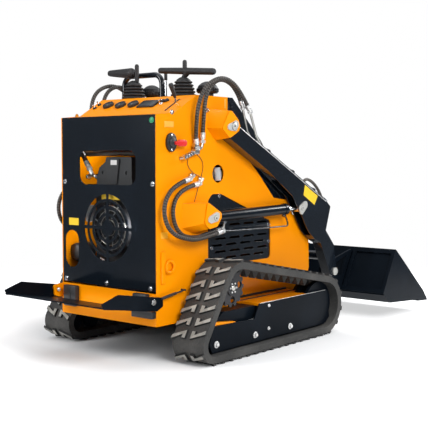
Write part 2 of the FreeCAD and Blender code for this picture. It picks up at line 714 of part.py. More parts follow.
def pins():
    """Pins with flag plates: each pin lies in running holes, its flag on the plate outside."""
    inner, outer = S.body_half - S.side_wall, S.ear_face + S.ear_wall
    pivot_flag = [(-52, -4), (-43, 10), (-13, 19), (12, 30), (30, 22), (34, 4), (14, -23),
                  (-26, -22), (-48, -15)]
    heel_flag = [(-58, -3), (-48, 10), (6, 30), (26, 22), (26, 4), (14, -15), (-38, -24),
                 (-56, -14)]
    knee_flag = [(-30, -5), (-24, 12), (22, 36), (42, 34), (50, 18), (46, 3), (2, -36), (-18, -32)]
    pivot, heel = Piece("arm_pivot_pin"), Piece("lift_heel_pin")
    for piece, x, z, flag in ((pivot, S.arm_pivot_x, S.arm_pivot_z, pivot_flag),
                              (heel, S.heel_pin_x, S.heel_pin_z, heel_flag)):
        piece.pad("XZ", inner, outer - inner, circle(x, z, S.pin_radius))
        piece.pad("XZ", outer, S.flag, around(x, z, flag))
    both_sides("body_pins", pivot.body, heel.body)
    knee = Piece("lift_knee_flag")
    knee.pad("XZ", S.arm_outer, S.flag, around(S.knee_pin_x, S.knee_pin_z, knee_flag))
    both_sides("knee_pin_flags", knee.body)


def arm_pipes():
    """Two steel pipes on each arm, from the hoses' ends down to and along the arm's top edge."""
    slope = (S.arm_front_z + 30 - S.arm_pivot_z - 8) / (S.arm_front_x - 38 - S.arm_pivot_x - 50)

    def above(x, side):
        rise = float(S.pipe_radius) + 1.5
        return (x, side, float(S.arm_pivot_z) + 8 + (x - float(S.arm_pivot_x) - 50) * float(slope)
                + rise)
    rear, front = HOSES_RIGHT["hose_arm_rear"], HOSES_RIGHT["hose_arm_front"]
    routes = (
        [rear[-1], between(*rear[-2:], 1.25), (637, -381, 1168), (690, -376, 1062),
         above(735, -373), above(1322, -373)],
        [front[-1], between(*front[-2:], 1.25), (606, -357, 1183), (645, -352, 1083),
         above(690, -350), above(1322, -350)])
    solids = [tube(route, S.pipe_radius, tightest=60)[0] for route in routes]
    both_sides("arm_pipes", shaped("arm_pipe_pair", Part.makeCompound(solids)))


# ---------------------------------------------------------------- cylinders

def slope_angle(start, stop):
    """The angle in degrees that the line from start to stop makes with +X, in the XZ plane."""
    return math.degrees(math.atan2(float(stop[1]) - float(start[1]),
                                   float(stop[0]) - float(start[0])))


def turned_solid(outline, start, stop, y):
    """An outline of (along, radius) pairs turned about the line from start to stop."""
    points = [Vector(float(a), 0, float(r)) for a, r in outline]
    face = Part.Face(Part.makePolygon(points + [points[0]]))
    solid = face.revolve(Vector(0, 0, 0), Vector(1, 0, 0), 360)
    solid.rotate(Vector(0, 0, 0), Vector(0, 1, 0), -slope_angle(start, stop))
    solid.translate(Vector(float(start[0]), float(y), float(start[1])))
    return solid


def level_rod(centre, y, radius, width):
    """A round bar across the machine."""
    return Part.makeCylinder(float(radius), float(width),
                             Vector(float(centre[0]), float(y) - float(width) / 2,
                                    float(centre[1])), Vector(0, 1, 0))


def cylinder_pair(names, start, stop, y, radius, eye, width, barrel_end, rod_length, hole):
    """Barrel with its eye and gland, and rod with its eye; the rod runs in the gland."""
    end, bore, rod = float(barrel_end), float(S.lift_bore), float(S.rod_radius)
    radius, hole = float(radius), float(hole)
    neck, shoulder, gland, wall = 20.0, 44.0, 40.0, 14.0
    barrel = turned_solid([
        (neck, 0), (neck, rod + 1), (shoulder, radius), (end - 30, radius),
        (end - 28, radius + 3), (end - 4, radius + 3), (end, radius - 2),
        (end, rod + float(S.gap)), (end - gland, rod + float(S.gap)), (end - gland, bore),
        (shoulder + wall, bore), (shoulder + wall, 0)], start, stop, y)
    barrel = barrel.fuse(level_rod(start, y, eye, width)).removeSplitter()
    length = math.hypot(float(stop[0]) - float(start[0]), float(stop[1]) - float(start[1]))
    tip = length - 12
    shaft = turned_solid([(length - float(rod_length), 0), (length - float(rod_length), rod),
                          (tip, rod), (tip, 0)], start, stop, y)
    shaft = shaft.fuse(level_rod(stop, y, float(eye) - 2, width)).removeSplitter()
    shaped(names[0], barrel.cut(level_rod(start, y, hole, 2 * float(width))))
    shaped(names[1], shaft)


def cylinders():
    heel, knee = (S.heel_pin_x, S.heel_pin_z), (S.knee_pin_x, S.knee_pin_z)
    for side, sign in (("right", -1), ("left", 1)):
        cylinder_pair((f"lift_barrel_{side}", f"lift_rod_{side}"), heel, knee,
                      S.lift_side * sign, S.lift_radius, S.lift_eye, S.lift_eye_width,
                      S.lift_barrel_end, S.lift_rod_length, S.pin_radius + S.gap)
    base, top = (S.tilt_base_x, S.tilt_base_z), (S.tilt_top_x, S.tilt_top_z)
    cylinder_pair(("tilt_barrel", "tilt_rod"), base, top, 0, S.tilt_radius, S.tilt_eye,
                  S.tilt_eye_width, S.tilt_barrel_end, S.tilt_rod_length, S.tilt_pin + S.gap)


# ---------------------------------------------------------------- bucket and hitch

def bucket():
    """Open shell with side plates, a framed back and a bolted cutting edge."""
    piece = Piece("bucket")
    top, heel = (S.bucket_top_x, S.bucket_top_z), (S.bucket_heel_x, S.bucket_heel_z)
    back = [top, heel, (S.bucket_sole_x, S.bucket_sole_z), (S.bucket_lip_x, S.bucket_lip_z)]
    piece.pad("XZ", 0, S.bucket_half * 2, back + [(S.cheek_x, S.cheek_z)], both=True)
    # ribs that frame the back beside the hitch, and along its top
    rib = [between(top, heel, 0.02), between(top, heel, 0.98)]
    rib_width = 22
    for near in (S.hitch_half + 6, -S.hitch_half - 6 - rib_width, S.bucket_half - rib_width,
                 -S.bucket_half):
        piece.pad("XZ", near, rib_width, strip(rib, -S.bucket_rib))
    for near, far in ((0.0, 0.10), (0.90, 0.98)):
        rail = [between(top, heel, near), between(top, heel, far)]
        piece.pad("XZ", 0, S.bucket_half * 2, strip(rail, -S.bucket_rib), both=True)
    inside = mitred(back, S.bucket_sheet)
    mouth = [(inside[-1][0] + 40, inside[-1][1] - 3), (2300, 400),
             (inside[0][0] + 10, inside[0][1] + 40)]
    piece.cut("XZ", 0, (S.bucket_half - S.bucket_side) * 2, inside[:-1] + mouth, both=True)
    sole, lip = back[2], back[3]
    edge = [between(sole, lip, 0.75), between(sole, lip, 1.0)]
    piece.pad("XZ", 0, S.bucket_half * 2, strip(edge, -S.cutting_edge), both=True)


def hitch():
    """Hitch frame behind the bucket: plate, two cheeks and the tilt cylinder's fork."""
    piece = Piece("hitch_frame")
    top, heel = (S.bucket_top_x, S.bucket_top_z), (S.bucket_heel_x, S.bucket_heel_z)
    face = mitred([top, heel], -S.bucket_rib - S.gap)
    span = [between(*face, 0.06), between(*face, 0.96)]
    piece.pad("XZ", 0, S.hitch_half * 2, strip(span, -S.hitch_plate), both=True)
    high, low = mitred(span, -S.hitch_plate / 2)
    x, z = S.hitch_x, S.hitch_z
    cheek = [*around(x, z, [(-26, 0), (-18, 22), (0, 30)]), high, low,
             *around(x, z, [(0, -30), (-18, -22)])]
    opening = [(x + 60, z + 2), (high[0] - 60, high[1] - 32), (low[0] + 8, low[1] + 70)]
    for near in (S.hitch_half - S.hitch_wall, -S.hitch_half):
        piece.pad("XZ", near, S.hitch_wall, cheek)
    piece.cut("XZ", S.hitch_half, S.hitch_half * 2, opening)
    fork = [*around(S.tilt_top_x, S.tilt_top_z, [(-26, -6), (-14, 20), (12, 24)]), high, low,
            (S.tilt_top_x + 10, S.tilt_top_z - 90)]
    for near in (S.bracket_inner, -S.bracket_inner - S.bracket_wall):
        piece.pad("XZ", near, S.bracket_wall, fork)
    pin = Piece("hitch_pin")
    pin.pad("XZ", S.arm_outer + 1, 8, circle(x, z, S.pin_radius + 7))
    pin.pad("XZ", S.hitch_half, S.arm_outer + 2 - S.hitch_half, circle(x, z, S.pin_radius))
    both_sides("hitch_pins", pin.body)


# ---------------------------------------------------------------- platform

def platform():
    """Folding platform with its hinge pins, and the gas springs beside it."""
    piece = Piece("platform")
    half = S.platform_half
    side = [*around(S.platform_tail, S.hinge_z, [(7, 5), (-5, 30), (95, 60)]),
            *around(S.hinge_x, S.hinge_z, [(69, 14), (70, -26), (30, -45)])]
    for near in (half - S.platform_side, -half):
        piece.pad("XZ", near, S.platform_side, side)
    floor = [(S.platform_tail, S.hinge_z + 8), (S.platform_tail, S.hinge_z + 8 + S.platform_floor),
             (S.platform_front, S.hinge_z - 31), (S.platform_front, S.hinge_z - 37)]
    piece.pad("XZ", 0, (half - 1) * 2, floor, both=True)
    piece.cut("XZ", half, half * 2, circle(S.hinge_x, S.hinge_z, S.hinge_pin + S.gap))
    pin = Piece("platform_pin")
    root, out = S.body_half - 14, half + 1
    pin.pad("XZ", root, out - root, circle(S.hinge_x, S.hinge_z, S.hinge_pin))
    pin.pad("XZ", out, 8, circle(S.hinge_x, S.hinge_z, S.hinge_pin + 5))
    both_sides("platform_pins", pin.body)
    spring_side = float(half) + 11
    foot = Vector(float(S.hinge_x) + 52, -spring_side, float(S.hinge_z) + 13)
    reach = Vector(150, 0, 22)
    head = foot + reach
    stud = Part.makeCylinder(5, spring_side + 3 - float(S.body_half),
                             Vector(head.x + 6, -float(S.body_half), head.z), Vector(0, -1, 0))
    spring = Part.makeCylinder(7, 95, foot, reach).fuse(
        [Part.makeCylinder(4, reach.Length + 6, foot, reach), stud])
    both_sides("platform_springs", shaped("platform_spring", spring.removeSplitter()))


# ---------------------------------------------------------------- tracks

class Loop:
    """The belt's inner line: round the sprocket, the tail wheel and the idler."""

    def __init__(self):
        wheels = [tuple(float(size) for size in wheel) for wheel in (
            (S.sprocket_x, S.sprocket_z, S.sprocket_wrap), (S.tail_x, S.tail_z, S.tail_wrap),
            (S.idler_x, S.idler_z, S.idler_wrap))]
        self.parts = []
        tangents = []
        for here, there in zip(wheels, wheels[1:] + wheels[:1]):
            dx, dz = there[0] - here[0], there[1] - here[1]
            heading = math.atan2(dz, dx)
            # outward normal of an outer tangent, on the right of the way round
            tangents.append((here, there, heading - math.acos((here[2] - there[2])
                                                              / math.hypot(dx, dz))))
        for index, (here, there, normal) in enumerate(tangents):
            previous = tangents[index - 1][2]
            sweep = (normal - previous) % (2 * math.pi)
            self.parts.append(("arc", here, previous, sweep, here[2] * sweep))
            start, stop = [(wheel[0] + wheel[2] * math.cos(normal),
                            wheel[1] + wheel[2] * math.sin(normal)) for wheel in (here, there)]
            self.parts.append(("line", start, stop, normal, math.dist(start, stop)))
        self.length = sum(part[4] for part in self.parts)

    def spot(self, distance, offset):
        """The point at a distance along the inner line, moved outwards by offset."""
        distance %= self.length
        for part in self.parts:
            if distance <= part[4]:
                break
            distance -= part[4]
        if part[0] == "arc":
            _, wheel, start, sweep, length = part
            angle = start + sweep * distance / length
            reach = wheel[2] + offset
            return Vector(wheel[0] + reach * math.cos(angle), 0, wheel[1] + reach * math.sin(angle))
        _, start, stop, normal, length = part
        share = distance / length
        return Vector(start[0] + (stop[0] - start[0]) * share + offset * math.cos(normal), 0,
                      start[1] + (stop[1] - start[1]) * share + offset * math.sin(normal))

    def breaks(self, begin, end):
        """Where the kind of stretch changes between two distances."""
        marks, total = [], 0.0
        for part in self.parts * 2:
            if begin + 1e-6 < total < end - 1e-6:
                marks.append(total)
            total += part[4]
        return marks

    def run(self, begin, end, offset):
        """Edges along the loop from begin to end at one offset."""
        edges = []
        stops = [begin] + self.breaks(begin, end) + [end]
        for first, last in zip(stops, stops[1:]):
            a, b = self.spot(first, offset), self.spot(last - 1e-9, offset)
            middle = self.spot((first + last) / 2, offset)
            if (middle - (a + b) * 0.5).Length > 1e-4:
                edges.append(Part.Arc(a, middle, b).toShape())
            else:
                edges.append(Part.LineSegment(a, b).toShape())
        return edges

    def outline(self, offset):
        return Part.Wire(self.run(0, self.length, offset))

    def toothed(self, count, foot, tip, foot_share, tip_share):
        """A closed outline with count teeth standing from offset foot to offset tip."""
        pitch = self.length / count
        edges = []
        for index in range(count):
            f0, t0, t1, f1 = [(index + share / 2) * pitch for share in (
                -foot_share, -tip_share, tip_share, foot_share)]
            places = [self.spot(f0, foot), self.spot(t0, tip), self.spot(t1, tip),
                      self.spot(f1, foot)]
            edges += [Part.LineSegment(a, b).toShape() for a, b in zip(places, places[1:])]
            edges += self.run(f1 % self.length, f1 % self.length + (1 - foot_share) * pitch, foot)
        return Part.Wire(Part.__sortEdges__(edges))

    def lug(self, distance, foot, rise, outline):
        """A tread block: its outline as (along, side) pairs, standing outwards on the belt."""
        centre, outer = self.spot(distance, foot), self.spot(distance, foot + 1)
        out = outer - centre
        ahead = Vector(out.z, 0, -out.x)
        corners = [centre + ahead * along + Vector(0, -side, 0) for along, side in outline]
        return Part.Face(Part.makePolygon(corners + corners[:1])).extrude(out * rise)


def track():
    """The right-hand belt with its drive teeth and two columns of hooked tread blocks."""
    loop = Loop()
    count = round(loop.length / float(S.lug_pitch))
    belt, lug = float(S.belt), float(S.lug)
    near, far, column = float(S.track_inner), float(S.track_outer), float(S.lug_column)
    tooth_half, middle = float(S.tooth_half), (near + far) / 2
    inner = Part.Face(loop.outline(0))
    ring = Part.Face(loop.outline(belt)).cut(inner).extrude(Vector(0, near - far, 0))
    ring.translate(Vector(0, -near, 0))
    guide = Part.Face(loop.toothed(count, 0, -float(S.tooth), 0.78, 0.16))
    teeth = inner.cut(guide).extrude(Vector(0, -2 * tooth_half, 0))
    teeth.translate(Vector(0, tooth_half - middle, 0))
    solid = ring.fuse(teeth).removeSplitter()
    # a hook: a leg beside the bare middle band, and a slanting bar to the belt's edge
    leg, bar, slant = 17, 15, 28
    hook = [(-leg, column), (leg, column), (leg - slant - 1, 0), (leg - slant - 1 - bar, 0),
            (2, column - bar), (-leg, column - bar)]
    sunk = 2.5
    blocks = []
    for index in range(count):
        distance = (index + 0.5) * loop.length / count
        for side, sign in ((near, 1), (far, -1)):
            outline = [(along * sign, side + sign * across) for along, across in hook]
            blocks.append(loop.lug(distance, belt - sunk, lug + sunk, outline))
    print("track loop length", round(loop.length, 1), "blocks", len(blocks),
          "solids", len(solid.Solids), "faces", len(solid.Faces))
    shaped("track_right", Part.makeCompound([solid] + blocks))
    mirrored("track_left", PIECES[-1])


def track_frame():
    """Outer plate, the beam behind it, the idler's guard, and the yellow ledges to the body."""
    piece = Piece("track_frame")
    root = S.frame_face - S.frame_plate
    rear, front, foot, top = S.frame_rear, S.frame_front, S.frame_foot, S.frame_top
    step, inner = S.frame_step, S.frame_beam_inner
    piece.pad("XZ", root, S.frame_plate,
              rounded([(rear + 20, foot - 6), (rear, foot + 38), (rear + 36, step + 9),
                       (rear + 343, step), (rear + 384, top), (front - 18, top),
                       (front, foot + 33), (front - 26, foot + 12), (front - 52, foot)], 8))
    beam = [(rear + 389, step - 6), (rear + 389, top - 12), (front - 231, top - 12),
            (front - 231, step - 6)]
    piece.pad("XZ", inner, root - inner + 1, beam)
    tail = [(rear + 118, step - 6), (rear + 88, step + 26), (rear + 140, top - 12),
            (rear + 390, top - 12), (rear + 390, step - 6)]
    piece.pad("XZ", inner, S.frame_setback, tail)
    # guard before the idler, between the belt's inner edge and the wheel
    guard = Piece("idler_guard")
    rim = inner + 8
    guard.pad("XZ", S.track_inner + 6, rim - S.track_inner - 8,
              [(front - 134, top - 12), (front - 134, top), (front - 84, top + 42),
               (front - 76, top + 34), (front - 108, top - 12)])
    both_sides("track_frames", piece.body, guard.body)
    support = Piece("track_support")
    support.pad("XZ", S.body_half, root - S.body_half,
                [(rear + 384, top - 12), (rear + 384, top), (front - 214, top),
                 (front - 214, top - 12)])
    support.pad("XZ", S.body_half, rim - S.body_half,
                [(rear + 384, top - 12), (rear + 384, top), (front - 134, top),
                 (front - 134, top - 12)])
    shelf = Piece("track_shelf")
    near = inner + S.frame_setback
    shelf.pad("XZ", near, root - near, [(rear + 40, step + 4), (rear + 40, step + 24),
                                        (rear + 200, step + 8), (rear + 200, step - 12)])
    both_sides("track_supports", support.body, shelf.body)


def wheels():
    """Sprockets on their hubs, then the tail wheels, rollers and idlers."""
    middle = float(S.track_inner + S.track_outer) / 2
    clear, drive = float(S.track_clear), float(S.tooth_half) + 5
    root = float(S.frame_face - S.frame_plate)

    def disc(x, z, radius, near, far):
        return Part.makeCylinder(radius, far - near, Vector(x, -near, z), Vector(0, -1, 0))

    # sprocket: two toothed discs either side of the drive teeth, with four holes, on the hub
    x, z = float(S.sprocket_x), float(S.sprocket_z)
    tip, depth, teeth, thick = float(S.sprocket_wrap) - clear, 12, 15, 10
    corners = []
    for tooth in range(teeth):
        for radius, share in ((tip - depth, -0.34), (tip, -0.16), (tip, 0.16), (tip - depth, 0.34)):
            angle = 2 * math.pi / teeth * (tooth + share)
            corners.append(Vector(x + radius * math.cos(angle), 0, z + radius * math.sin(angle)))
    cog = Part.Face(Part.makePolygon(corners + [corners[0]])).extrude(Vector(0, -thick, 0))
    hole_reach, hole_radius, boss = 60, 17, 38
    for quarter in range(4):
        angle = math.radians(98 + 90 * quarter)
        cog = cog.cut(disc(x + hole_reach * math.cos(angle), z + hole_reach * math.sin(angle),
                           hole_radius, -1, thick + 1))
    cogs = []
    for near in (middle - drive - thick, middle + drive):
        copy = cog.copy()
        copy.translate(Vector(0, -near, 0))
        cogs.append(copy)
    shaft = disc(x, z, boss, float(S.body_half), middle + drive + thick + 8)
    both_sides("sprockets", shaped("sprocket", shaft.fuse(cogs).removeSplitter()))
    # tail wheel, rollers and idler: paired wheels on a hub that reaches the frame plate
    wheel_width, axle, roller_x = 20, 30, (275, 500, 650, 798)
    tail = (float(S.tail_x), float(S.tail_z), float(S.tail_wrap))
    idler = (float(S.idler_x), float(S.idler_z), float(S.idler_wrap))
    rollers = [(x, float(S.roller_z), float(S.roller_wrap)) for x in roller_x]
    solids = []
    for x, z, radius in [tail, *rollers, idler]:
        hub = min(axle, radius - float(S.tooth) - 4)
        wheel = disc(x, z, hub, middle - drive - wheel_width, root)
        solids.append(wheel.fuse(
            [disc(x, z, radius - clear, middle - drive - wheel_width, middle - drive),
             disc(x, z, radius - clear, middle + drive, middle + drive + wheel_width)])
            .removeSplitter())
    both_sides("rollers", shaped("roller_set", Part.makeCompound(solids)))


STEPS = (side_plate, side_vent, lower_frame, rear_panel, console, front_hood, engine, fan_cowl,
         filler_cap, joysticks, grab_bar, arm, arm_cross, pins, arm_pipes, cylinders, bucket,
         hitch, platform, track, track_frame, wheels, hoses)
for step in STEPS:
    step()
doc.recompute()

faults = [o.Name for o in doc.Objects if {"Invalid", "Error"} & set(o.State)]
if faults:
    raise ValueError(f"features that failed: {faults}")
for piece in PIECES:
    if piece.Shape.isNull() or not piece.Shape.isValid():
        raise ValueError(f"{piece.Label} has no valid shape")
os.makedirs("parts", exist_ok=True)
for piece in PIECES:
    piece.Shape.exportStep(f"parts/{piece.Label}.step")
print(len(PIECES), "pieces written")
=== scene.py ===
"""Looks for the mini track loader: finishes, hoses, fittings, controls and small hardware.

Metres, +X forwards, +Y to the left, +Z up.  Places are given in millimetres from the rear panel's
face, the middle plane and the ground, and spot() brings them into the shared frame.
"""
import math

import bmesh
import bpy
from bpy.props import FloatProperty, FloatVectorProperty, PointerProperty
from mathutils import Matrix, Vector


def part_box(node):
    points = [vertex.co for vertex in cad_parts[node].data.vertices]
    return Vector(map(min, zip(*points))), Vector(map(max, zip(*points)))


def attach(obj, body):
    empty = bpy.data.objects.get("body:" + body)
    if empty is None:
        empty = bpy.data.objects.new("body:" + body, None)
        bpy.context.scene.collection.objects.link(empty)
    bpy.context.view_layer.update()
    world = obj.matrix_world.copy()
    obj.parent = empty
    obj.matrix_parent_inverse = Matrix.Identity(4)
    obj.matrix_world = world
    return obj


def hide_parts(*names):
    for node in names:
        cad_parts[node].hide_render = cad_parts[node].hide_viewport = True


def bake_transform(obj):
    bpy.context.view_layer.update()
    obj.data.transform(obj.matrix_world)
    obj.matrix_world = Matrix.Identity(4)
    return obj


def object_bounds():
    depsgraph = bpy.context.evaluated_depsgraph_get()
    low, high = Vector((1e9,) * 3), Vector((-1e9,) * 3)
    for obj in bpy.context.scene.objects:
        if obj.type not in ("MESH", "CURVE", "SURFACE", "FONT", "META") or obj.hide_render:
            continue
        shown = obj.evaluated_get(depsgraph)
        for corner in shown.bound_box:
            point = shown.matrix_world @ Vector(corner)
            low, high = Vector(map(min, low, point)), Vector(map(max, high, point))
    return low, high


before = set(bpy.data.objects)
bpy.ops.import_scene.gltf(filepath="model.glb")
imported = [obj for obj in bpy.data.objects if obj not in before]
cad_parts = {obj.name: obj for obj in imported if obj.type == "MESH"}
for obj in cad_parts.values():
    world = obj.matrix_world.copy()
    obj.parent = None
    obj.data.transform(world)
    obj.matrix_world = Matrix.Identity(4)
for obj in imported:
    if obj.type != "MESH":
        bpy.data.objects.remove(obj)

bl_info = {
    "name": "Mini track loader looks",
    "version": (1, 0, 0),
    "blender": (4, 5, 0),
    "location": "3D View > Sidebar > Loader",
    "description": "Finishes, hoses, controls and small hardware for a tracked loader's solids",
    "category": "Object",
}

CAD_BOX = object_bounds()
MM = 0.001
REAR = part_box("rear_panel")[0][0]


def spot(ahead, side, up):
    """A place on the machine, in millimetres from the rear panel, middle plane and ground."""
    return Vector((REAR + ahead * MM, side * MM, up * MM))


def outer_face(node):
    """How far a solid reaches out from the middle plane, in millimetres."""
    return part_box(node)[1][1] / MM


def top_face(node):
    """How high a solid reaches, in millimetres."""
    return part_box(node)[1][2] / MM


# faces that fittings seat on
BODY_FACE = outer_face("lower_frame")
VENT_FACE = outer_face("side_vents")
ARM_FACE = outer_face("arm_left")
PIN_FACE = outer_face("body_pins")
KNEE_PIN_FACE = outer_face("knee_pin_flags")
FRAME_FACE = outer_face("track_frames")
SPROCKET_FACE = outer_face("sprockets")
LEDGE_TOP = top_face("track_supports")
CONSOLE_TOP = top_face("console")


class Side:
    """One side of the machine, whose places are measured outwards from the middle plane."""

    def __init__(self, name, sign):
        self.name = name
        self.sign = sign
        self.out = Vector((0, sign, 0))

    def at(self, ahead, out, up):
        return spot(ahead, self.sign * out, up)

    def route(self, hose):
        """The points that a hose follows on this side."""
        return [Vector((REAR + x, -self.sign * y, z)) for x, y, z in HOSES[hose][2]]


SIDES = (Side("right", -1), Side("left", 1))


# ---- settings

def colour_setting(name, description, *default):
    """A colour that a user may choose."""
    return FloatVectorProperty(name=name, description=description, default=default,
                               subtype="COLOR", size=3, min=0, max=1)


def length_setting(name, description, default, least, most):
    """A length in metres."""
    return FloatProperty(name=name, description=description, default=default, unit="LENGTH",
                         min=least, max=most)


def power_setting(name, description, default):
    """A lamp's power in watts."""
    return FloatProperty(name=name, description=description, default=default, unit="POWER",
                         min=0, max=2000)


class LoaderColours(bpy.types.PropertyGroup):
    """Colours that a user would change."""
    yellow: colour_setting("Body paint", "Colour of the side plates and console",
                           0.90, 0.278, 0.0002)
    black: colour_setting("Black paint", "Colour of the arms, bucket, hood and rear panel",
                          0.0035, 0.0055, 0.0085)
    rubber: colour_setting("Track rubber", "Colour of the tracks", 0.028, 0.028, 0.027)
    hose: colour_setting("Hose guard", "Colour of the hoses' spiral guard", 0.052, 0.043, 0.035)
    floor: colour_setting("Floor", "Colour of the studio floor", 0.80, 0.80, 0.80)


class LoaderSizes(bpy.types.PropertyGroup):
    """Sizes and amounts that a user would change."""
    hose_width: length_setting("Hose width", "Outer diameter of a hose with its guard",
                               0.021, 0.008, 0.03)
    guard_pitch: length_setting("Guard pitch", "Length of one turn of the hoses' spiral guard",
                                0.013, 0.004, 0.03)
    edge: length_setting("Edge round", "Radius that the paint gives to sheet edges",
                         0.0018, 0, 0.005)
    dust: FloatProperty(
        name="Dust", description="How much dust lies on the tracks", default=0.35,
        subtype="FACTOR", min=0, max=1)
    key_power: power_setting("Key light", "Power of the main softbox", 170)
    top_power: power_setting("Top light", "Power of the softbox overhead", 55)
    fill_power: power_setting("Side light", "Power of the softbox behind the machine", 110)
    front_power: power_setting("Front light", "Power of the softbox in front of the machine", 150)
    bay_power: power_setting("Bay light", "Power of a small lamp behind the rear panel", 0.55)
    sky: FloatProperty(
        name="Room light", description="Strength of the dim light from all round", default=0.9,
        min=0, max=5)


def colours():
    return bpy.context.scene.loader_colours


def sizes():
    return bpy.context.scene.loader_sizes


# ---- shader writing

NOISE_ROUGHNESS = 0.55
FINISHES = {}


class Wire:
    """A socket's output that Python's operators combine through Math nodes."""

    def __init__(self, nodes, socket):
        self.nodes = nodes
        self.socket = socket

    def combine(self, operation, first, second, clamp=False):
        return self.nodes.add("ShaderNodeMath", {0: first, 1: second}, operation=operation,
                              use_clamp=clamp)

    def __add__(self, other):
        return self.combine("ADD", self, other)

    def __sub__(self, other):
        return self.combine("SUBTRACT", self, other)

    def __rsub__(self, other):
        return self.combine("SUBTRACT", other, self)

    def __mul__(self, other):
        return self.combine("MULTIPLY", self, other)

    def __pow__(self, other):
        return self.combine("POWER", self, other)

    __radd__ = __add__
    __rmul__ = __mul__

    def above(self, edge, width):
        """0 below edge, 1 above edge + width, smooth between."""
        limits = {"Value": self, "From Min": edge, "From Max": edge + width}
        return self.nodes.add("ShaderNodeMapRange", limits, interpolation_type="SMOOTHSTEP")

    def clamped(self):
        return self.combine("ADD", self, 0.0, clamp=True)


class Nodes:
    """Writes nodes into a node tree."""

    def __init__(self, tree):
        self.tree = tree

    def add(self, kind, sockets, output=0, **settings):
        """Add a node: its settings first, then values or links for its sockets."""
        made = self.tree.nodes.new(kind)
        for name, value in settings.items():
            setattr(made, name, value)
        for key, value in sockets.items():
            self.plug(made.inputs[key], value)
        return Wire(self, made.outputs[output])

    def plug(self, socket, value):
        if isinstance(value, Wire):
            self.tree.links.new(value.socket, socket)
        elif isinstance(value, (tuple, list, Vector)) and socket.type == "RGBA":
            socket.default_value = (*value[:3], 1.0)
        else:
            socket.default_value = value

    def only(self, kind):
        """The one node of a kind that the tree starts with."""
        return next(node for node in self.tree.nodes if node.type == kind)

    def place(self, space="Object"):
        return self.add("ShaderNodeTexCoord", {}, space)

    def along(self, axis, space="Object"):
        """How far along an axis a point lies."""
        return self.add("ShaderNodeSeparateXYZ", {0: self.place(space)}, axis)


class Finish(Nodes):
    """One procedural material in the making: a Principled shader and what feeds it."""

    def __init__(self, name, **fixed):
        material = bpy.data.materials.new(f"finish_{name}")
        material.use_nodes = True
        super().__init__(material.node_tree)
        self.shader = self.only("BSDF_PRINCIPLED")
        self.feed(**fixed)
        FINISHES[name] = material

    def feed(self, **sockets):
        """Set or link the shader's own sockets; underscores stand for spaces."""
        for name, value in sockets.items():
            self.plug(self.shader.inputs[name.replace("_", " ")], value)

    def noise(self, scale, detail=3.0):
        sockets = {"Vector": self.place(), "Scale": scale, "Detail": detail,
                   "Roughness": NOISE_ROUGHNESS}
        return self.add("ShaderNodeTexNoise", sockets, "Fac")

    def blend(self, share, first, second):
        """A colour between first and second."""
        return self.add("ShaderNodeMix", {0: share, 6: first, 7: second}, 2, data_type="RGBA")

    def bump(self, level, distance, strength):
        """Relief from a level, on edges rounded by the finish."""
        rounded = self.add("ShaderNodeBevel", {"Radius": sizes().edge}, samples=4)
        self.feed(Normal=self.add("ShaderNodeBump", {
            "Strength": strength, "Distance": distance, "Height": level, "Normal": rounded}))


def toned(colour, share):
    """A colour made lighter or darker."""
    return tuple(part * share for part in colour)


def yellow_paint():
    """Gloss body paint with faint orange peel, a little deeper in tone where it varies."""
    colour = tuple(colours().yellow)
    finish = Finish("yellow_paint", Coat_Weight=0.06, Coat_Roughness=0.08, Specular_IOR_Level=0.08)
    drift = finish.noise(2.1, 2.0)
    painted = finish.blend(drift.above(0.35, 0.35), colour, toned(colour, 0.93))
    finish.feed(Base_Color=painted, Roughness=finish.noise(60.0) * 0.10 + 0.27)
    finish.bump(finish.noise(420.0, 2.0), 0.00012, 0.5)


def frame_paint():
    """The lower frame: body paint on the rear lip and its ears, and the belly painted black as the
    shade under the machine.
    """
    colour = tuple(colours().yellow)
    finish = Finish("frame_paint", Specular_IOR_Level=0.08)
    # painted shade: the belly behind the rear lip is black, which also keeps yellow light off the
    # floor below
    belly_shade = finish.along("X").above(REAR + 0.0005, 0.001)
    finish.feed(Base_Color=finish.blend(belly_shade, colour, (0.008, 0.009, 0.010)),
                Roughness=finish.noise(60.0) * 0.10 + 0.27 + belly_shade * 0.3)
    finish.bump(finish.noise(420.0, 2.0), 0.00012, 0.5)


def black_paint(name, gloss):
    """Deep black with faint orange peel; gloss is 0 for satin and 1 for full gloss."""
    colour = tuple(colours().black)
    finish = Finish(name, Coat_Weight=0.4 * gloss ** 2, Coat_Roughness=0.04,
                    Specular_IOR_Level=0.04 + 0.34 * gloss ** 2)
    finish.feed(Base_Color=finish.blend(finish.noise(3.0).above(0.4, 0.3), colour,
                                        toned(colour, 1.6)),
                Roughness=finish.noise(8.0) * 0.06 + (0.28 - 0.16 * gloss))
    finish.bump(finish.noise(30.0, 2.0), 0.00003, 0.2)


def track_rubber():
    """Moulded rubber, greyed by dust in broad patches and fine grit."""
    colour = tuple(colours().rubber)
    finish = Finish("track_rubber", IOR=1.45)
    patches = finish.noise(5.0, 6.0).above(0.40, 0.35)
    grit = finish.noise(160.0, 4.0).above(0.42, 0.3)
    dust = (patches * 0.75 + grit * 0.35) * sizes().dust
    finish.feed(Base_Color=finish.blend(dust.clamped(), colour, (0.17, 0.16, 0.145)),
                Roughness=0.62 + finish.noise(90.0) * 0.25)
    finish.bump(finish.noise(260.0, 5.0), 0.0006, 0.7)


def lug_tip():
    """Tread blocks' outer faces, scuffed and dusted light grey."""
    finish = Finish("lug_tip", IOR=1.45)
    patches = finish.noise(22.0, 5.0).above(0.38, 0.35)
    grit = finish.noise(240.0, 3.0).above(0.40, 0.3)
    finish.feed(Base_Color=finish.blend((patches * 0.7 + grit * 0.3).clamped(),
                                        (0.20, 0.195, 0.175), (0.42, 0.41, 0.37)),
                Roughness=0.7 + finish.noise(90.0) * 0.2)
    finish.bump(finish.noise(300.0, 4.0), 0.0005, 0.7)


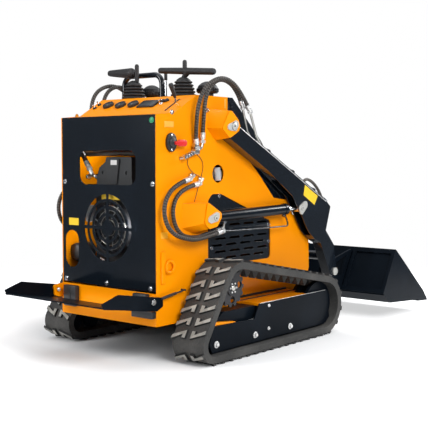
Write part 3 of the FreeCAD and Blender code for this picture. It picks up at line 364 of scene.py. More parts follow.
def hose_guard():
    """Spiral-wrapped hose: dusty turns with a slight sheen."""
    colour = tuple(colours().hose)
    finish = Finish("hose_guard", IOR=1.5)
    finish.feed(Base_Color=finish.blend(finish.noise(30.0).above(0.4, 0.4), colour,
                                        toned(colour, 1.7)),
                Roughness=finish.noise(120.0) * 0.2 + 0.36)
    finish.bump(finish.noise(700.0, 2.0), 0.0002, 0.4)


def plain(name, colour, roughness, metallic=0.0, grain=300.0, depth=0.0001):
    """A smooth finish whose roughness and tone drift a little."""
    finish = Finish(name)
    drift = finish.noise(9.0, 4.0).above(0.35, 0.3)
    finish.feed(Base_Color=finish.blend(drift, colour, toned(colour, 0.82)), Metallic=metallic,
                Roughness=finish.noise(grain / 6) * 0.12 + roughness)
    finish.bump(finish.noise(grain), depth, 0.6)


# smooth finishes: colour, roughness, and what differs from the usual
SMOOTH_FINISHES = {
    "bright_steel": ((0.74, 0.75, 0.77), 0.10, {"metallic": 1.0}),
    "zinc": ((0.62, 0.60, 0.56), 0.24, {"metallic": 1.0}),
    "satin_steel": ((0.80, 0.80, 0.79), 0.26, {"metallic": 0.6}),
    "flag_zinc": ((0.62, 0.62, 0.58), 0.34, {"metallic": 0.45, "grain": 120.0, "depth": 0.0004}),
    "dark_cast": ((0.035, 0.035, 0.038), 0.48, {"metallic": 0.3, "grain": 180.0, "depth": 0.0006}),
    "black_plastic": ((0.016, 0.016, 0.018), 0.40, {"grain": 500.0, "depth": 0.0002}),
    "soft_grip": ((0.012, 0.012, 0.013), 0.52, {"grain": 600.0, "depth": 0.0003}),
    "grey_plastic": ((0.011, 0.012, 0.013), 0.42, {"grain": 500.0}),
    "pale_plastic": ((0.30, 0.31, 0.32), 0.40, {}),
    "pale_label": ((0.72, 0.70, 0.68), 0.38, {}),
    "pale_yellow": ((0.90, 0.38, 0.01), 0.38, {}),
    "deep_yellow": ((0.86, 0.41, 0.045), 0.38, {}),
    "display": ((0.020, 0.022, 0.024), 0.12, {}),
    # black painted shade for hollows, slots, rings round heads and the flanks of tread blocks
    "hose_gap": ((0.004, 0.004, 0.004), 0.6, {}),
    "wire": ((0.020, 0.012, 0.008), 0.40, {}),
    "yellow_label": ((0.90, 0.58, 0.02), 0.35, {}),
    "red_plastic": ((0.60, 0.012, 0.010), 0.32, {}),
    "green_plastic": ((0.03, 0.28, 0.12), 0.30, {}),
    "dial_face": ((0.012, 0.012, 0.014), 0.30, {}),
}


def make_finishes():
    """Every finish of the machine."""
    yellow_paint()
    black_paint("black_paint", 1.0)
    black_paint("half_gloss_black", 0.4)
    black_paint("satin_black", 0.0)
    frame_paint()
    track_rubber()
    lug_tip()
    hose_guard()
    for name, (colour, roughness, rest) in SMOOTH_FINISHES.items():
        plain(name, colour, roughness, **rest)


# which finish each kind of solid takes
NODE_FINISH = {
    "yellow_paint": ["side_plate_right", "side_plate_left", "console", "track_supports"],
    "frame_paint": ["lower_frame"],
    "black_paint": ["side_vents", "rear_panel", "front_hood", "arm_right", "arm_left", "arm_cross",
                    "grab_bar"],
    "half_gloss_black": ["lift_barrel_right", "lift_barrel_left", "tilt_barrel"],
    "satin_black": ["track_frames", "rollers", "platform", "bucket", "hitch_frame"],
    "dark_cast": ["sprockets", "engine", "platform_springs"],
    "grey_plastic": ["engine_cover"],
    "black_plastic": ["fan_cowl", "filler_caps"],
    "soft_grip": ["joysticks"],
    "flag_zinc": ["body_pins", "knee_pin_flags", "hitch_pins"],
    "bright_steel": ["lift_rod_right", "lift_rod_left", "tilt_rod", "platform_pins"],
    "zinc": ["arm_pipes"],
    "track_rubber": ["track_right", "track_left"],
}


def paint_solids():
    """Give every CAD solid its finish."""
    for name, nodes in NODE_FINISH.items():
        for node in nodes:
            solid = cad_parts[node]
            solid.data.materials.clear()
            solid.data.materials.append(FINISHES[name])


# ---- shaping

def put(name, data):
    """An object for some data, linked to the scene."""
    made = bpy.data.objects.new(name, data)
    bpy.context.scene.collection.objects.link(made)
    return made


class Form:
    """A piece in the making: a bmesh whose faces take the finish chosen last."""

    def __init__(self, name, finish):
        self.name = name
        self.mesh = bmesh.new()
        self.finishes = []
        self.use(finish)

    def use(self, finish):
        if finish not in self.finishes:
            self.finishes.append(finish)
        self.current = self.finishes.index(finish)
        return self

    def mark(self, verts):
        """Give the faces round new vertices the finish chosen last."""
        for vert in verts:
            for face in vert.link_faces:
                face.material_index = self.current
        return verts

    def block(self, centre, size, turn=None, edge=0.0, rounds=2):
        """A block with eased edges, turned by a rotation matrix if one is given."""
        place = Matrix.Translation(centre) @ (turn.to_4x4() if turn else Matrix.Identity(4))
        verts = bmesh.ops.create_cube(self.mesh, size=1, matrix=place @ Matrix.Diagonal(
            (*size, 1)))["verts"]
        return self.ease(verts, edge, rounds)

    def ease(self, verts, edge, rounds=2):
        if edge > 0:
            edges = {e for v in verts for e in v.link_edges}
            made = bmesh.ops.bevel(self.mesh, geom=list(edges), offset=edge, segments=rounds,
                                   affect="EDGES", profile=0.5, material=-1)
            verts = made["verts"] + [v for v in verts if v.is_valid]
        return self.mark(verts)

    def rod(self, start, end, radius, end_radius=None, sides=20):
        """A round bar or cone from start to end."""
        start, end = Vector(start), Vector(end)
        along = end - start
        turn = along.to_track_quat("Z", "Y").to_matrix().to_4x4()
        place = Matrix.Translation((start + end) / 2) @ turn
        return self.mark(bmesh.ops.create_cone(
            self.mesh, cap_ends=True, cap_tris=False, segments=sides, radius1=radius,
            radius2=radius if end_radius is None else end_radius, depth=along.length,
            matrix=place)["verts"])

    def bars(self, place, *rows):
        """Bars by rows: finish, both ends as place() takes them, radius and number of sides."""
        for finish, start, end, radius, sides in rows:
            self.use(finish).rod(place(*start), place(*end), radius, sides=sides)

    def turned(self, foot, axis, outline, sides=24):
        """An outline of (radius, height) pairs turned about the axis that starts at foot."""
        turn = Vector(axis).to_track_quat("Z", "Y").to_matrix()
        verts = [self.mesh.verts.new(Vector(foot) + turn @ Vector((r, 0, h))) for r, h in outline]
        edges = [self.mesh.edges.new(pair) for pair in zip(verts, verts[1:])]
        before = set(self.mesh.faces)
        bmesh.ops.spin(self.mesh, geom=verts + edges, cent=foot, axis=turn @ Vector((0, 0, 1)),
                       angle=math.tau, steps=sides, use_merge=True, use_duplicate=False)
        for face in self.mesh.faces:
            if face not in before:
                face.material_index = self.current

    def plate(self, corners, thickness, edge=0.0):
        """A flat plate: its outline, and its thickness as a vector."""
        verts = [self.mesh.verts.new(c) for c in corners]
        face = self.mesh.faces.new(verts)
        made = bmesh.ops.extrude_face_region(self.mesh, geom=[face], use_keep_orig=True)["geom"]
        top = [g for g in made if isinstance(g, bmesh.types.BMVert)]
        bmesh.ops.translate(self.mesh, vec=thickness, verts=top)
        return self.ease(verts + top, edge)

    def bolt(self, head, out, across=0.013, washer=True):
        """A hexagon head that stands out from head, on a washer."""
        out = Vector(out).normalized()
        if washer:
            self.rod(head, head + out * across * 0.14, across * 0.86, sides=16)
        return self.rod(head + out * across * 0.14, head + out * across * 0.62, across * 0.56,
                        across * 0.52, sides=6)

    def piece(self, body="chassis", smooth=35):
        """Finish the mesh as an object that rides on a body."""
        bmesh.ops.remove_doubles(self.mesh, verts=self.mesh.verts, dist=1e-6)
        bmesh.ops.recalc_face_normals(self.mesh, faces=self.mesh.faces)
        data = bpy.data.meshes.new(self.name)
        limit = math.radians(smooth)
        for face in self.mesh.faces:
            face.smooth = True
        for edge in self.mesh.edges:
            edge.smooth = len(edge.link_faces) == 2 and edge.calc_face_angle(math.pi) < limit
        self.mesh.to_mesh(data)
        self.mesh.free()
        for finish in self.finishes:
            data.materials.append(FINISHES[finish])
        made = put(self.name, data)
        if body:
            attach(made, body)
        return made


# ---- camera and hoses

CAMERA_PLACE = (-2995, -3151, 960)
CAMERA_YAW = 39.67
CAMERA_DROP = 3.646
CAMERA_LENS = 75.72


def set_camera():
    """A long lens behind the machine's right-hand corner, a little above the console."""
    data = bpy.data.cameras.new("camera")
    data.lens = CAMERA_LENS
    camera = put("camera", data)
    camera.location = spot(*CAMERA_PLACE)
    camera.rotation_euler = (math.radians(90 - CAMERA_DROP), 0, math.radians(CAMERA_YAW - 90))
    bpy.context.scene.camera = camera


# each hose of the right side: its real length, the body it leads to, and its route in metres
HOSES = {
    "hose_arm_front": (0.52, "arms", [
        (0.301, -0.348, 1.071), (0.304, -0.351, 1.152), (0.313, -0.355, 1.250),
        (0.359, -0.359, 1.315), (0.440, -0.359, 1.341), (0.537, -0.359, 1.304),
        (0.579, -0.359, 1.238)]),
    "hose_arm_rear": (0.65, "arms", [
        (0.252, -0.348, 1.041), (0.234, -0.363, 1.144), (0.253, -0.377, 1.252),
        (0.315, -0.385, 1.319), (0.427, -0.384, 1.347), (0.538, -0.384, 1.297),
        (0.602, -0.384, 1.216)]),
    "hose_lift_rear": (0.68, "lift_barrel", [
        (0.169, -0.350, 0.846), (0.073, -0.357, 0.824), (-0.002, -0.364, 0.726),
        (0.037, -0.371, 0.609), (0.185, -0.378, 0.565), (0.288, -0.382, 0.575),
        (0.374, -0.381, 0.590)]),
    "hose_lift_front": (0.61, "lift_barrel", [
        (0.240, -0.346, 0.825), (0.129, -0.348, 0.806), (0.071, -0.351, 0.702),
        (0.121, -0.353, 0.594), (0.239, -0.355, 0.571), (0.334, -0.356, 0.591),
        (0.399, -0.356, 0.596)]),
}
# the rings of a hose: how far apart they are in metres, and their corners
RING_STEP = 0.0022
RING_SIDES = 14
# the guard's turns: the share of the radius between them, how broad their crowns are, and the mean
# share of the radius below which a face is painted black as shade between the turns
GUARD_LOW = 0.82
GUARD_CROWN = 1.25
SUNK_SHARE = 0.95


def spline_points(route):
    """Points along the smooth line that the route's points control."""
    curve = bpy.data.curves.new("route", "CURVE")
    curve.dimensions = "3D"
    spline = curve.splines.new("NURBS")
    spline.points.add(len(route) - 1)
    for point, place in zip(spline.points, route):
        point.co = (*place, 1)
    spline.order_u = 3
    spline.use_endpoint_u = True
    spline.resolution_u = 40
    line = put("route", curve)
    mesh = bpy.data.meshes.new_from_object(line)
    points = [v.co.copy() for v in mesh.vertices]
    bpy.data.objects.remove(line)
    bpy.data.meshes.remove(mesh)
    return points


def even_steps(points, step):
    """Points at even distances along a fine line, with both its ends."""
    marks = [0.0]
    for before, after in zip(points, points[1:]):
        marks.append(marks[-1] + (after - before).length)
    count = max(2, round(marks[-1] / step))
    made, index = [], 0
    for turn in range(count + 1):
        reach = marks[-1] * turn / count
        while index < len(points) - 2 and marks[index + 1] < reach:
            index += 1
        share = (reach - marks[index]) / max(marks[index + 1] - marks[index], 1e-9)
        made.append(points[index].lerp(points[index + 1], min(share, 1.0)))
    return made


def tube(form, points, radius, sides=12, relief=None, gap=None):
    """A tube along points with no twist; relief gives the share of the radius at (length, angle).

    Faces whose corners lie below the full radius take the finish named gap, which paints shade into
    them.
    """
    normal = (points[1] - points[0]).orthogonal().normalized()
    rings, length = [], 0.0
    for index, here in enumerate(points):
        ahead = points[min(index + 1, len(points) - 1)] - points[max(index - 1, 0)]
        ahead.normalize()
        normal = (normal - ahead * normal.dot(ahead)).normalized()
        across = ahead.cross(normal)
        if index:
            length += (here - points[index - 1]).length
        ring = []
        for side in range(sides):
            angle = math.tau * side / sides
            share = relief(length, angle) if relief else 1.0
            out = (normal * math.cos(angle) + across * math.sin(angle)) * radius * share
            ring.append((form.mesh.verts.new(here + out), share))
        rings.append(ring)
    sunk = []
    for first, second in zip(rings, rings[1:]):
        for side in range(sides):
            after = (side + 1) % sides
            corners = (first[side], first[after], second[after], second[side])
            face = form.mesh.faces.new([vert for vert, _ in corners])
            if sum(share for _, share in corners) < SUNK_SHARE * len(corners):
                sunk.append(face)
    form.mesh.faces.new([vert for vert, _ in rings[0][::-1]])
    form.mesh.faces.new([vert for vert, _ in rings[-1]])
    form.mark([vert for ring in rings for vert, _ in ring])
    if gap:
        form.use(gap)
        for face in sunk:
            face.material_index = form.current


def ring_points(middle, radius, plane, steps):
    """Points round a circle in the plane of two vectors, the first one again at the end."""
    first, second = plane
    return [middle + (first * math.cos(turn) + second * math.sin(turn)) * radius
            for turn in (math.tau * step / steps for step in range(steps + 1))]


def lay_hoses():
    """The eight hydraulic hoses in their spiral guard, each from the body to an arm or cylinder."""
    pitch, width = sizes().guard_pitch, sizes().hose_width

    def guard(length, angle):
        turn = (length / pitch + angle / math.tau) % 1.0
        crown = min(1.0, GUARD_CROWN * math.sin(math.pi * turn))
        return GUARD_LOW + (1 - GUARD_LOW) * crown

    for name, (length, leads_to, _) in HOSES.items():
        for side in SIDES:
            places = side.route(name)
            line = spline_points(places)
            form = Form(f"guard_{name}_{side.name}", "hose_guard")
            # the hollows between the guard's turns take painted shade
            tube(form, even_steps(line, RING_STEP), width / 2, RING_SIDES, guard, "hose_gap")
            made = form.piece(None, smooth=60)
            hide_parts(f"{name}_{side.name}")
            even_steps(line, 0.01)
            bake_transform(made)


# ---- fittings

# the arm's top edge: where its straight stretch starts, and its fall for each millimetre ahead
ARM_EDGE = (521, 1116)
ARM_EDGE_FALL = 0.5018
PIPE_FALL = 0.4995
CLAMP_TILT = 0.463
LINE_STEP = 0.006


def arm_line(ahead, fall, lift):
    """How high a line runs along the arm's top edge, lifted off it by some millimetres."""
    start, height = ARM_EDGE
    return height + lift - (ahead - start) * fall


def crimp(form, at, along, width=25):
    """A pressed hose end with its nut, from at towards along; returns where the nut ends."""
    along = along.normalized()
    half = width / 2 * MM
    form.use("satin_steel").turned(at - along * 0.004, along, [
        (half * 0.93, 0), (half, 0.001), (half, 0.009), (half * 0.93, 0.011), (half * 0.93, 0.013),
        (half, 0.015), (half, 0.026), (half * 0.9, 0.029), (half * 0.62, 0.030),
        (half * 0.62, 0.036)])
    form.rod(at + along * 0.032, at + along * 0.046, half * 1.12, sides=6)
    return at + along * 0.046


def elbow(form, start, corner, end, radius=0.0075):
    """A steel elbow from start round corner to end, with a collar at its foot."""
    form.use("zinc").rod(start, corner, radius)
    form.rod(corner, end, radius)
    form.turned(corner - (corner - start).normalized() * radius, corner - start, [
        (0, -radius * 0.1), (radius * 1.02, 0), (radius * 1.02, radius * 2), (0, radius * 2.1)])
    form.use("bright_steel").rod(end, end + (corner - end).normalized() * 0.012, radius * 1.9,
                                 sides=6)


def crimp_far_end(form, side, hose):
    """A crimp where a hose's route ends; returns where its nut ends."""
    before, last = side.route(hose)[-2:]
    return crimp(form, last, last - before)


def fit_hose_ends():
    """Crimps, elbows and adapters where the hoses leave the side plates."""
    for side in SIDES:
        form = Form(f"hose_fittings_{side.name}", "bright_steel")
        for name, (ahead, up) in (("hose_lift_rear", (232, 868)), ("hose_lift_front", (296, 850))):
            first, second = side.route(name)[:2]
            end = crimp(form, first, first - second)
            elbow(form, end, side.at(ahead, 348, up), side.at(ahead, BODY_FACE, up + 2))
        # the two upper hoses stand on one steel adapter that leads back and down
        tips = []
        for name in ("hose_arm_rear", "hose_arm_front"):
            first, second = side.route(name)[:2]
            tips.append(crimp(form, first, Vector((first.x - second.x, 0, first.z - second.z))))
        block, bend, end = side.at(252, 346, 984), side.at(292, 347, 1004), side.at(170, 345, 956)
        form.use("zinc").block(block, (0.030, 0.028, 0.026), edge=0.004)
        form.rod(tips[0], block, 0.008)
        form.rod(tips[1], bend, 0.007)
        form.rod(bend, block, 0.007)
        form.use("bright_steel").rod(block, end, 0.0085)
        for share in (0.28, 0.5, 0.74, 0.96):
            place = block.lerp(end, share)
            form.rod(place, place + (end - block) * 0.13, 0.0135, sides=6)
        form.use("zinc").rod(end, side.at(163, BODY_FACE, 953), 0.009)
        form.rod(side.at(262, 346, 1012), side.at(236, 346, 1014), 0.012, sides=6)
        form.piece()


def fit_arm_ends():
    """Crimps on the arms' pipes, the clamps that hold them, and the short hose at the knee."""
    for side in SIDES:
        form = Form(f"arm_fittings_{side.name}", "bright_steel")
        for hose in ("hose_arm_rear", "hose_arm_front"):
            crimp_far_end(form, side, hose)
        for ahead in (790, 1010, 1215):
            form.use("black_paint").block(
                side.at(ahead, 361, arm_line(ahead, PIPE_FALL, 5)), (0.022, 0.050, 0.020),
                Matrix.Rotation(CLAMP_TILT, 3, "Y"), 0.003)
            form.use("bright_steel").bolt(
                side.at(ahead + 4, 361, arm_line(ahead, PIPE_FALL, 14)), Vector((0.45, 0, 0.9)),
                0.011, washer=False)
        for out in (350, 373):
            nose = side.at(1322, out, 724)
            back, neck, tip = [nose + Vector((ahead, 0, up)) for ahead, up in
                               ((-0.010, 0.005), (0.018, -0.009), (0.034, -0.017))]
            form.rod(back, neck, 0.0095, sides=6)
            form.rod(neck, tip, 0.0075)
        # bright strip on the outer plate's top edge, a painted highlight; dark pipe above it,
        # painted shade
        for finish, out, lift, radius, rear in (("satin_steel", ARM_FACE - 0.8, -3, 0.0018, 530),
                                                ("dark_cast", 380, 6, 0.0045, 720)):
            form.use(finish)
            tube(form, [side.at(ahead, out, arm_line(ahead, ARM_EDGE_FALL, lift))
                        for ahead in range(rear, 1331, 20)], radius, 8)
        # short hose that springs over the pipes to the front end of the arm
        line = spline_points([side.at(*place) for place in (
            (1150, 338, 800), (1190, 336, 842), (1270, 336, 820), (1345, 338, 756),
            (1362, 340, 712))])
        form.use("hose_guard")
        tube(form, even_steps(line, 0.004), 0.0085)
        form.piece("arms")
        label = Form(f"arm_label_{side.name}", "yellow_label")
        corners = ((1114, 806), (1242, 741), (1210, 692), (1102, 750))
        label.plate([side.at(ahead, ARM_FACE + 0.2, up) for ahead, up in corners],
                    side.out * 0.0006)
        label.piece("arms")


def fit_barrel_pipes():
    """The pipe under each lift cylinder, its crimp, and the ports on the barrel."""
    for side in SIDES:
        form = Form(f"barrel_pipe_{side.name}", "bright_steel")
        crimp_far_end(form, side, "hose_lift_rear")
        end = crimp_far_end(form, side, "hose_lift_front")
        elbow(form, end, side.at(446, 357, 612), side.at(452, 360, 644), 0.006)
        line = spline_points([side.at(*place) for place in (
            (420, 381, 597), (470, 379, 592), (720, 372, 590), (955, 368, 588), (986, 367, 588),
            (984, 366, 612), (962, 364, 648))])
        form.use("black_paint")
        tube(form, even_steps(line, LINE_STEP), 0.0042, 10)
        form.rod(side.at(950, 364, 640), side.at(956, 363, 652), 0.011)
        form.use("bright_steel").bolt(side.at(385, 362, 640), Vector((0, 0, -1)), 0.016)
        form.piece(f"lift_barrel_{side.name}")


def run_wires():
    """Two thin signal wires on each side plate."""
    for side in SIDES:
        form = Form(f"signal_wires_{side.name}", "wire")
        for route in (((223, 961), (204, 938), (222, 902), (262, 876), (300, 866), (309, 852)),
                      ((275, 973), (312, 952), (327, 915), (312, 868), (288, 812), (268, 765),
                       (253, 726))):
            line = spline_points([side.at(ahead, BODY_FACE + 4, up) for ahead, up in route])
            tube(form, even_steps(line, LINE_STEP), 0.0014, 8)
        form.piece()


# ---- side plates

# the main pins: the body they ride on, how far out their flags stand, each one's place and radius
PIN_HEADS = (("chassis", PIN_FACE, ((471, 1108, 19), (330, 665, 13))),
             ("arms", KNEE_PIN_FACE, ((1086, 681, 12),)))


def dress_side_plates():
    """Screws, blank labels, lashing rings and straps, and the port behind the round hole."""
    for side in SIDES:
        form = Form(f"side_screws_{side.name}", "bright_steel")
        for ahead, up in ((105, 1166), (359, 1184)):
            form.bolt(side.at(ahead, BODY_FACE, up), side.out, 0.013)
        for ahead, up in ((460, 766), (399, 509), (874, 511), (872, 600), (480, 440)):
            form.bolt(side.at(ahead, VENT_FACE, up), side.out, 0.011)
        form.bars(side.at,
                  ("satin_steel", (474, 268, 872), (474, 306, 876), 0.025, 20),
                  ("satin_steel", (466, 304, 842), (458, 304, 906), 0.018, 6),
                  ("satin_steel", (462, 302, 874), (462, 314, 874), 0.019, 6),
                  # painted shade: a black disc in the fitting's bore
                  ("hose_gap", (464, 310, 876), (464, 315, 876), 0.007, 20),
                  ("black_plastic", (502, 290, 842), (502, 290, 905), 0.010, 20))
        form.piece()
        form = Form(f"lashing_{side.name}", "yellow_paint")
        form.block(side.at(40, BODY_FACE + 3, 446), (0.030, 0.007, 0.150), edge=0.003)
        upright = Vector((1, 0, 0)), Vector((0, 0, 1))
        tube(form, ring_points(side.at(80, BODY_FACE + 9, 448), 0.027, upright, 40), 0.0065)
        form.block(side.at(58, BODY_FACE + 6, 448), (0.012, 0.014, 0.040), edge=0.004)
        form.piece()
        form = Form(f"side_labels_{side.name}", "pale_yellow")
        for finish, middle, long, high in (("deep_yellow", (85.5, 1109.5), 0.063, 0.027),
                                           ("pale_yellow", (50.5, 596), 0.047, 0.030),
                                           ("deep_yellow", (497, 1222), 0.012, 0.046)):
            form.use(finish).block(side.at(middle[0], BODY_FACE + 0.4, middle[1]),
                                   (long, 0.0008, high))
        form.piece()


def head_pins():
    """Round heads on the plated flags of the main pins."""
    for side in SIDES:
        for body, face, heads in PIN_HEADS:
            form = Form(f"pin_heads_{body}_{side.name}", "flag_zinc")
            for ahead, up, radius in heads:
                foot, wide = side.at(ahead, face, up), radius * MM
                # painted shade: a black ring round each head, and a black spot in its hollow middle
                form.use("hose_gap").turned(foot, side.out, [
                    (wide * 1.1, 0), (wide * 1.1, 0.0006), (0, 0.0006)], 28)
                form.turned(foot, side.out, [(0.0045, 0.003), (0, 0.0031)], 12)
                form.use("flag_zinc").turned(foot, side.out, [
                    (wide, 0), (wide, 0.002), (wide * 0.9, 0.0032), (wide * 0.35, 0.0032),
                    (wide * 0.3, 0.0022), (0, 0.0022)], 28)
            form.piece(body)


def fit_isolator():
    """The battery isolator on the right: an oval base, two screws and a red key."""
    form = Form("isolator", "black_plastic")
    right = SIDES[0]
    middle = right.at(93, BODY_FACE, 1026)
    form.plate(ring_points(middle, 1, (Vector((0.034, 0, 0)), Vector((0, 0, 0.044))), 36)[:-1],
               right.out * 0.014, 0.003)
    form.turned(middle + right.out * 0.013, right.out,
                [(0.024, 0), (0.022, 0.008), (0.017, 0.011), (0, 0.012)])
    for up in (1060, 992):
        form.use("bright_steel").turned(right.at(92, BODY_FACE + 13, up), right.out, [
            (0.006, 0), (0.0058, 0.002), (0.003, 0.004), (0, 0.0044)], 16)
    key = ((96, 8), (112, 9), (126, 16), (168, 15), (178, 9), (179, -7), (170, -14), (126, -16),
           (112, -9), (96, -8))
    form.use("red_plastic").plate([right.at(ahead, BODY_FACE + 22, 1023 + up) for ahead, up in key],
                                  right.out * 0.009, 0.0025)
    form.piece()


# ---- rear panel

# rubber blocks under the panel that the platform folds against: from side to side, from foot to top
PLATFORM_STOPS = (((199, 286), (218, 321)), ((-283, -198), (249, 326)), ((-325, -190), (214, 249)))
FAN_RINGS = (0.3, 0.48, 0.66, 0.84)
FAN_BLADES = 22
BLADE_SWEEP = 0.35


def dress_rear_panel():
    """Bolts, a green cap, a blank label and the rubber stops under the panel."""
    behind = Vector((-1, 0, 0))
    form = Form("panel_bolts", "bright_steel")
    for side, up in ((302, 836), (-302, 834), (296, 350), (8, 349), (-285, 349)):
        form.bolt(spot(0, side, up), behind, 0.014)
    form.use("green_plastic").turned(spot(0, -298, 1127), behind,
                                     [(0.014, 0), (0.014, 0.003), (0.009, 0.006), (0, 0.007)])
    form.piece()
    form = Form("hinge_pin_heads", "satin_steel")
    for side in SIDES:
        form.turned(side.at(-40, 311.5, 296), -side.out,
                    [(0.010, 0), (0.010, 0.003), (0.006, 0.006), (0, 0.0062)])
    form.piece()
    form = Form("panel_label", "yellow_label")
    form.block(spot(-0.4, 238.5, 638.5), (0.0008, 0.070, 0.036))
    form.piece()
    form = Form("platform_stops", "black_plastic")
    for (right, left), (low, high) in PLATFORM_STOPS:
        form.block(spot(-18, (right + left) / 2, (low + high) / 2),
                   (0.030, (left - right) * MM, (high - low) * MM), edge=0.005)
    form.use("grey_plastic").block(spot(-34, 236, 268), (0.002, 0.010, 0.088), edge=0.0008)
    form.piece()


def fill_engine_bay():
    """What shows through the window and the slot: lines and their ends, a pump, a tank, labels."""
    form = Form("engine_bay_metal", "bright_steel")
    start, bend = spot(60, 209, 933), spot(60, 167, 872)
    form.rod(crimp(form, start, bend - start, 26), bend, 0.010)
    form.bars(spot,
              ("zinc", (60, 167, 872), (60, 192, 862), 0.012, 20),
              ("bright_steel", (60, 192, 862), (60, 200, 859), 0.015, 6),
              ("bright_steel", (60, 134, 862), (60, 122, 860), 0.014, 6),
              ("zinc", (60, 150, 864), (75, 96, 858), 0.008, 20),
              ("bright_steel", (20, 66, 462), (20, 40, 452), 0.009, 6),
              ("bright_steel", (30, -23, 711), (22, -23, 711), 0.006, 20),
              ("bright_steel", (30, -120, 537), (22, -120, 537), 0.006, 20))
    form.use("pale_plastic").block(spot(85, 207, 676), (0.050, 0.032, 0.083), edge=0.008)
    form.piece()
    form = Form("engine_bay_dark", "hose_guard")
    for route, radius in (
            (((60, 262, 1010), (60, 236, 972), (60, 208, 932)), 0.012),
            (((85, 300, 972), (85, 120, 976), (85, -60, 978), (85, -240, 972)), 0.013),
            (((105, 300, 990), (105, 60, 1000), (105, -240, 992)), 0.010),
            (((150, 300, 380), (130, 250, 420), (120, 190, 440)), 0.014)):
        line = spline_points([spot(*place) for place in route])
        tube(form, even_steps(line, LINE_STEP), radius)
    form.use("black_plastic").turned(spot(45, 290, 478), (1, 0, 0), [
        (0, 0), (0.030, 0.002), (0.041, 0.008), (0.046, 0.022), (0.046, 0.100), (0.034, 0.118),
        (0, 0.120)], 40)
    form.piece()
    guard_fan()
    form = Form("engine_bay_labels", "pale_label")
    form.block(spot(41, -5, 932), (0.001, 0.042, 0.024))
    form.use("yellow_label").block(spot(24, -2, 770), (0.001, 0.130, 0.034))
    form.piece()


def guard_fan():
    """A wire guard in front of the fan, and its blades' edges, every third one pale as a painted
    highlight.
    """
    low, high = [Vector(corner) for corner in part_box("fan_cowl")]
    hub, reach = (low + high) / 2, (high.y - low.y) / 2
    hub.x = low.x - 0.004
    across = Vector((0, 1, 0)), Vector((0, 0, 1))
    form = Form("fan_guard", "grey_plastic")
    for share in FAN_RINGS:
        form.use("zinc")
        tube(form, ring_points(hub, reach * share, across, 48), 0.0012, 8)
    for blade in range(FAN_BLADES):
        turn = math.tau * blade / FAN_BLADES
        root, tip = [hub + Vector((0.006, math.cos(angle) * radius, math.sin(angle) * radius))
                     for angle, radius in ((turn, reach * 0.34), (turn + BLADE_SWEEP, reach * 0.9))]
        # painted highlight: every third blade edge is pale, the rest dark
        form.use("pale_plastic" if blade % 3 == 0 else "grey_plastic").rod(root, tip, 0.0022,
                                                                           sides=8)
    form.piece()


# ---- console

# the sloping face: its foot, how much it rises for each millimetre ahead, and the way it faces
SLOPE_FOOT = (125, 1165)
SLOPE_RISE = 90 / 155
SLOPE_OUT = Vector((-SLOPE_RISE, 0, 1)).normalized()
CAP_RIBS = 28


def on_slope(ahead, side, lift=0.0):
    """A place on the console's sloping face, lifted off it by some millimetres."""
    up = SLOPE_FOOT[1] + (ahead - SLOPE_FOOT[0]) * SLOPE_RISE
    return spot(ahead, side, up) + SLOPE_OUT * lift * MM


def set_instruments():
    """Three gauges, a display, switches and the throttle on the sloping face."""
    turn = Matrix.Rotation(-math.atan(SLOPE_RISE), 3, "Y")
    form = Form("gauges", "black_plastic")
    for ahead, side in ((214, 207), (210, 116), (212, 28)):
        form.use("black_plastic").turned(on_slope(ahead, side), SLOPE_OUT, [
            (0.029, 0), (0.030, 0.004), (0.029, 0.012), (0.026, 0.014), (0.024, 0.010)], 32)
        form.use("dial_face").turned(on_slope(ahead, side, 9.5), SLOPE_OUT,
                                     [(0.0245, 0), (0.012, 0.0012), (0, 0.0014)], 32)
        form.use("pale_label").block(on_slope(ahead - 6, side, 11.5), (0.010, 0.002, 0.0006), turn)
    form.use("black_plastic").block(on_slope(210, -78, 4), (0.066, 0.112, 0.010), turn, 0.003)
    form.use("display").block(on_slope(210, -78, 9.3), (0.054, 0.094, 0.001), turn)
    for ahead, side in ((232, -156), (236, -176)):
        form.use("black_plastic").turned(on_slope(ahead, side), SLOPE_OUT,
                                         [(0.012, 0), (0.012, 0.006), (0.008, 0.010), (0, 0.011)])
    form.use("bright_steel").turned(on_slope(210, -160), SLOPE_OUT,
                                    [(0.011, 0), (0.011, 0.004), (0.006, 0.007), (0, 0.0075)])
    form.block(on_slope(210, -160, 14), (0.020, 0.003, 0.018), turn, 0.001)
    for ahead in (228, 196):
        form.bars(on_slope, ("black_plastic", (ahead, 290), (ahead, 290, 7), 0.010, 20),
                  ("bright_steel", (ahead, 290, 5), (ahead - 6, 290, 24), 0.0035, 20))
    form.piece()
    form = Form("throttle", "hose_gap")
    # the throttle's slot: a black strip of painted shade
    form.block(on_slope(196, -247, 0.4), (0.118, 0.010, 0.0016), turn)
    foot, knee, tip = spot(220, -247, 1222), spot(216, -247, 1240), spot(184, -247, 1304)
    form.use("bright_steel").rod(foot, knee, 0.005)
    form.use("soft_grip").turned(knee, tip - knee, [
        (0, 0), (0.0065, 0.001), (0.0085, 0.020), (0.0115, 0.060), (0.012, 0.068), (0.009, 0.074),
        (0, 0.076)])
    form.piece()
    form = Form("auxiliary_lever", "bright_steel")
    form.rod(spot(402, -15, CONSOLE_TOP), spot(402, -15, 1352), 0.0055)
    form.use("soft_grip").turned(spot(402, -15, 1348), (0, 0, 1), [
        (0.0055, 0), (0.0085, 0.001), (0.0085, 0.034), (0.007, 0.039), (0, 0.041)])
    form.use("black_plastic").turned(spot(402, -15, CONSOLE_TOP), (0, 0, 1),
                                     [(0.018, 0), (0.016, 0.006), (0.008, 0.014), (0, 0.015)])
    form.piece()


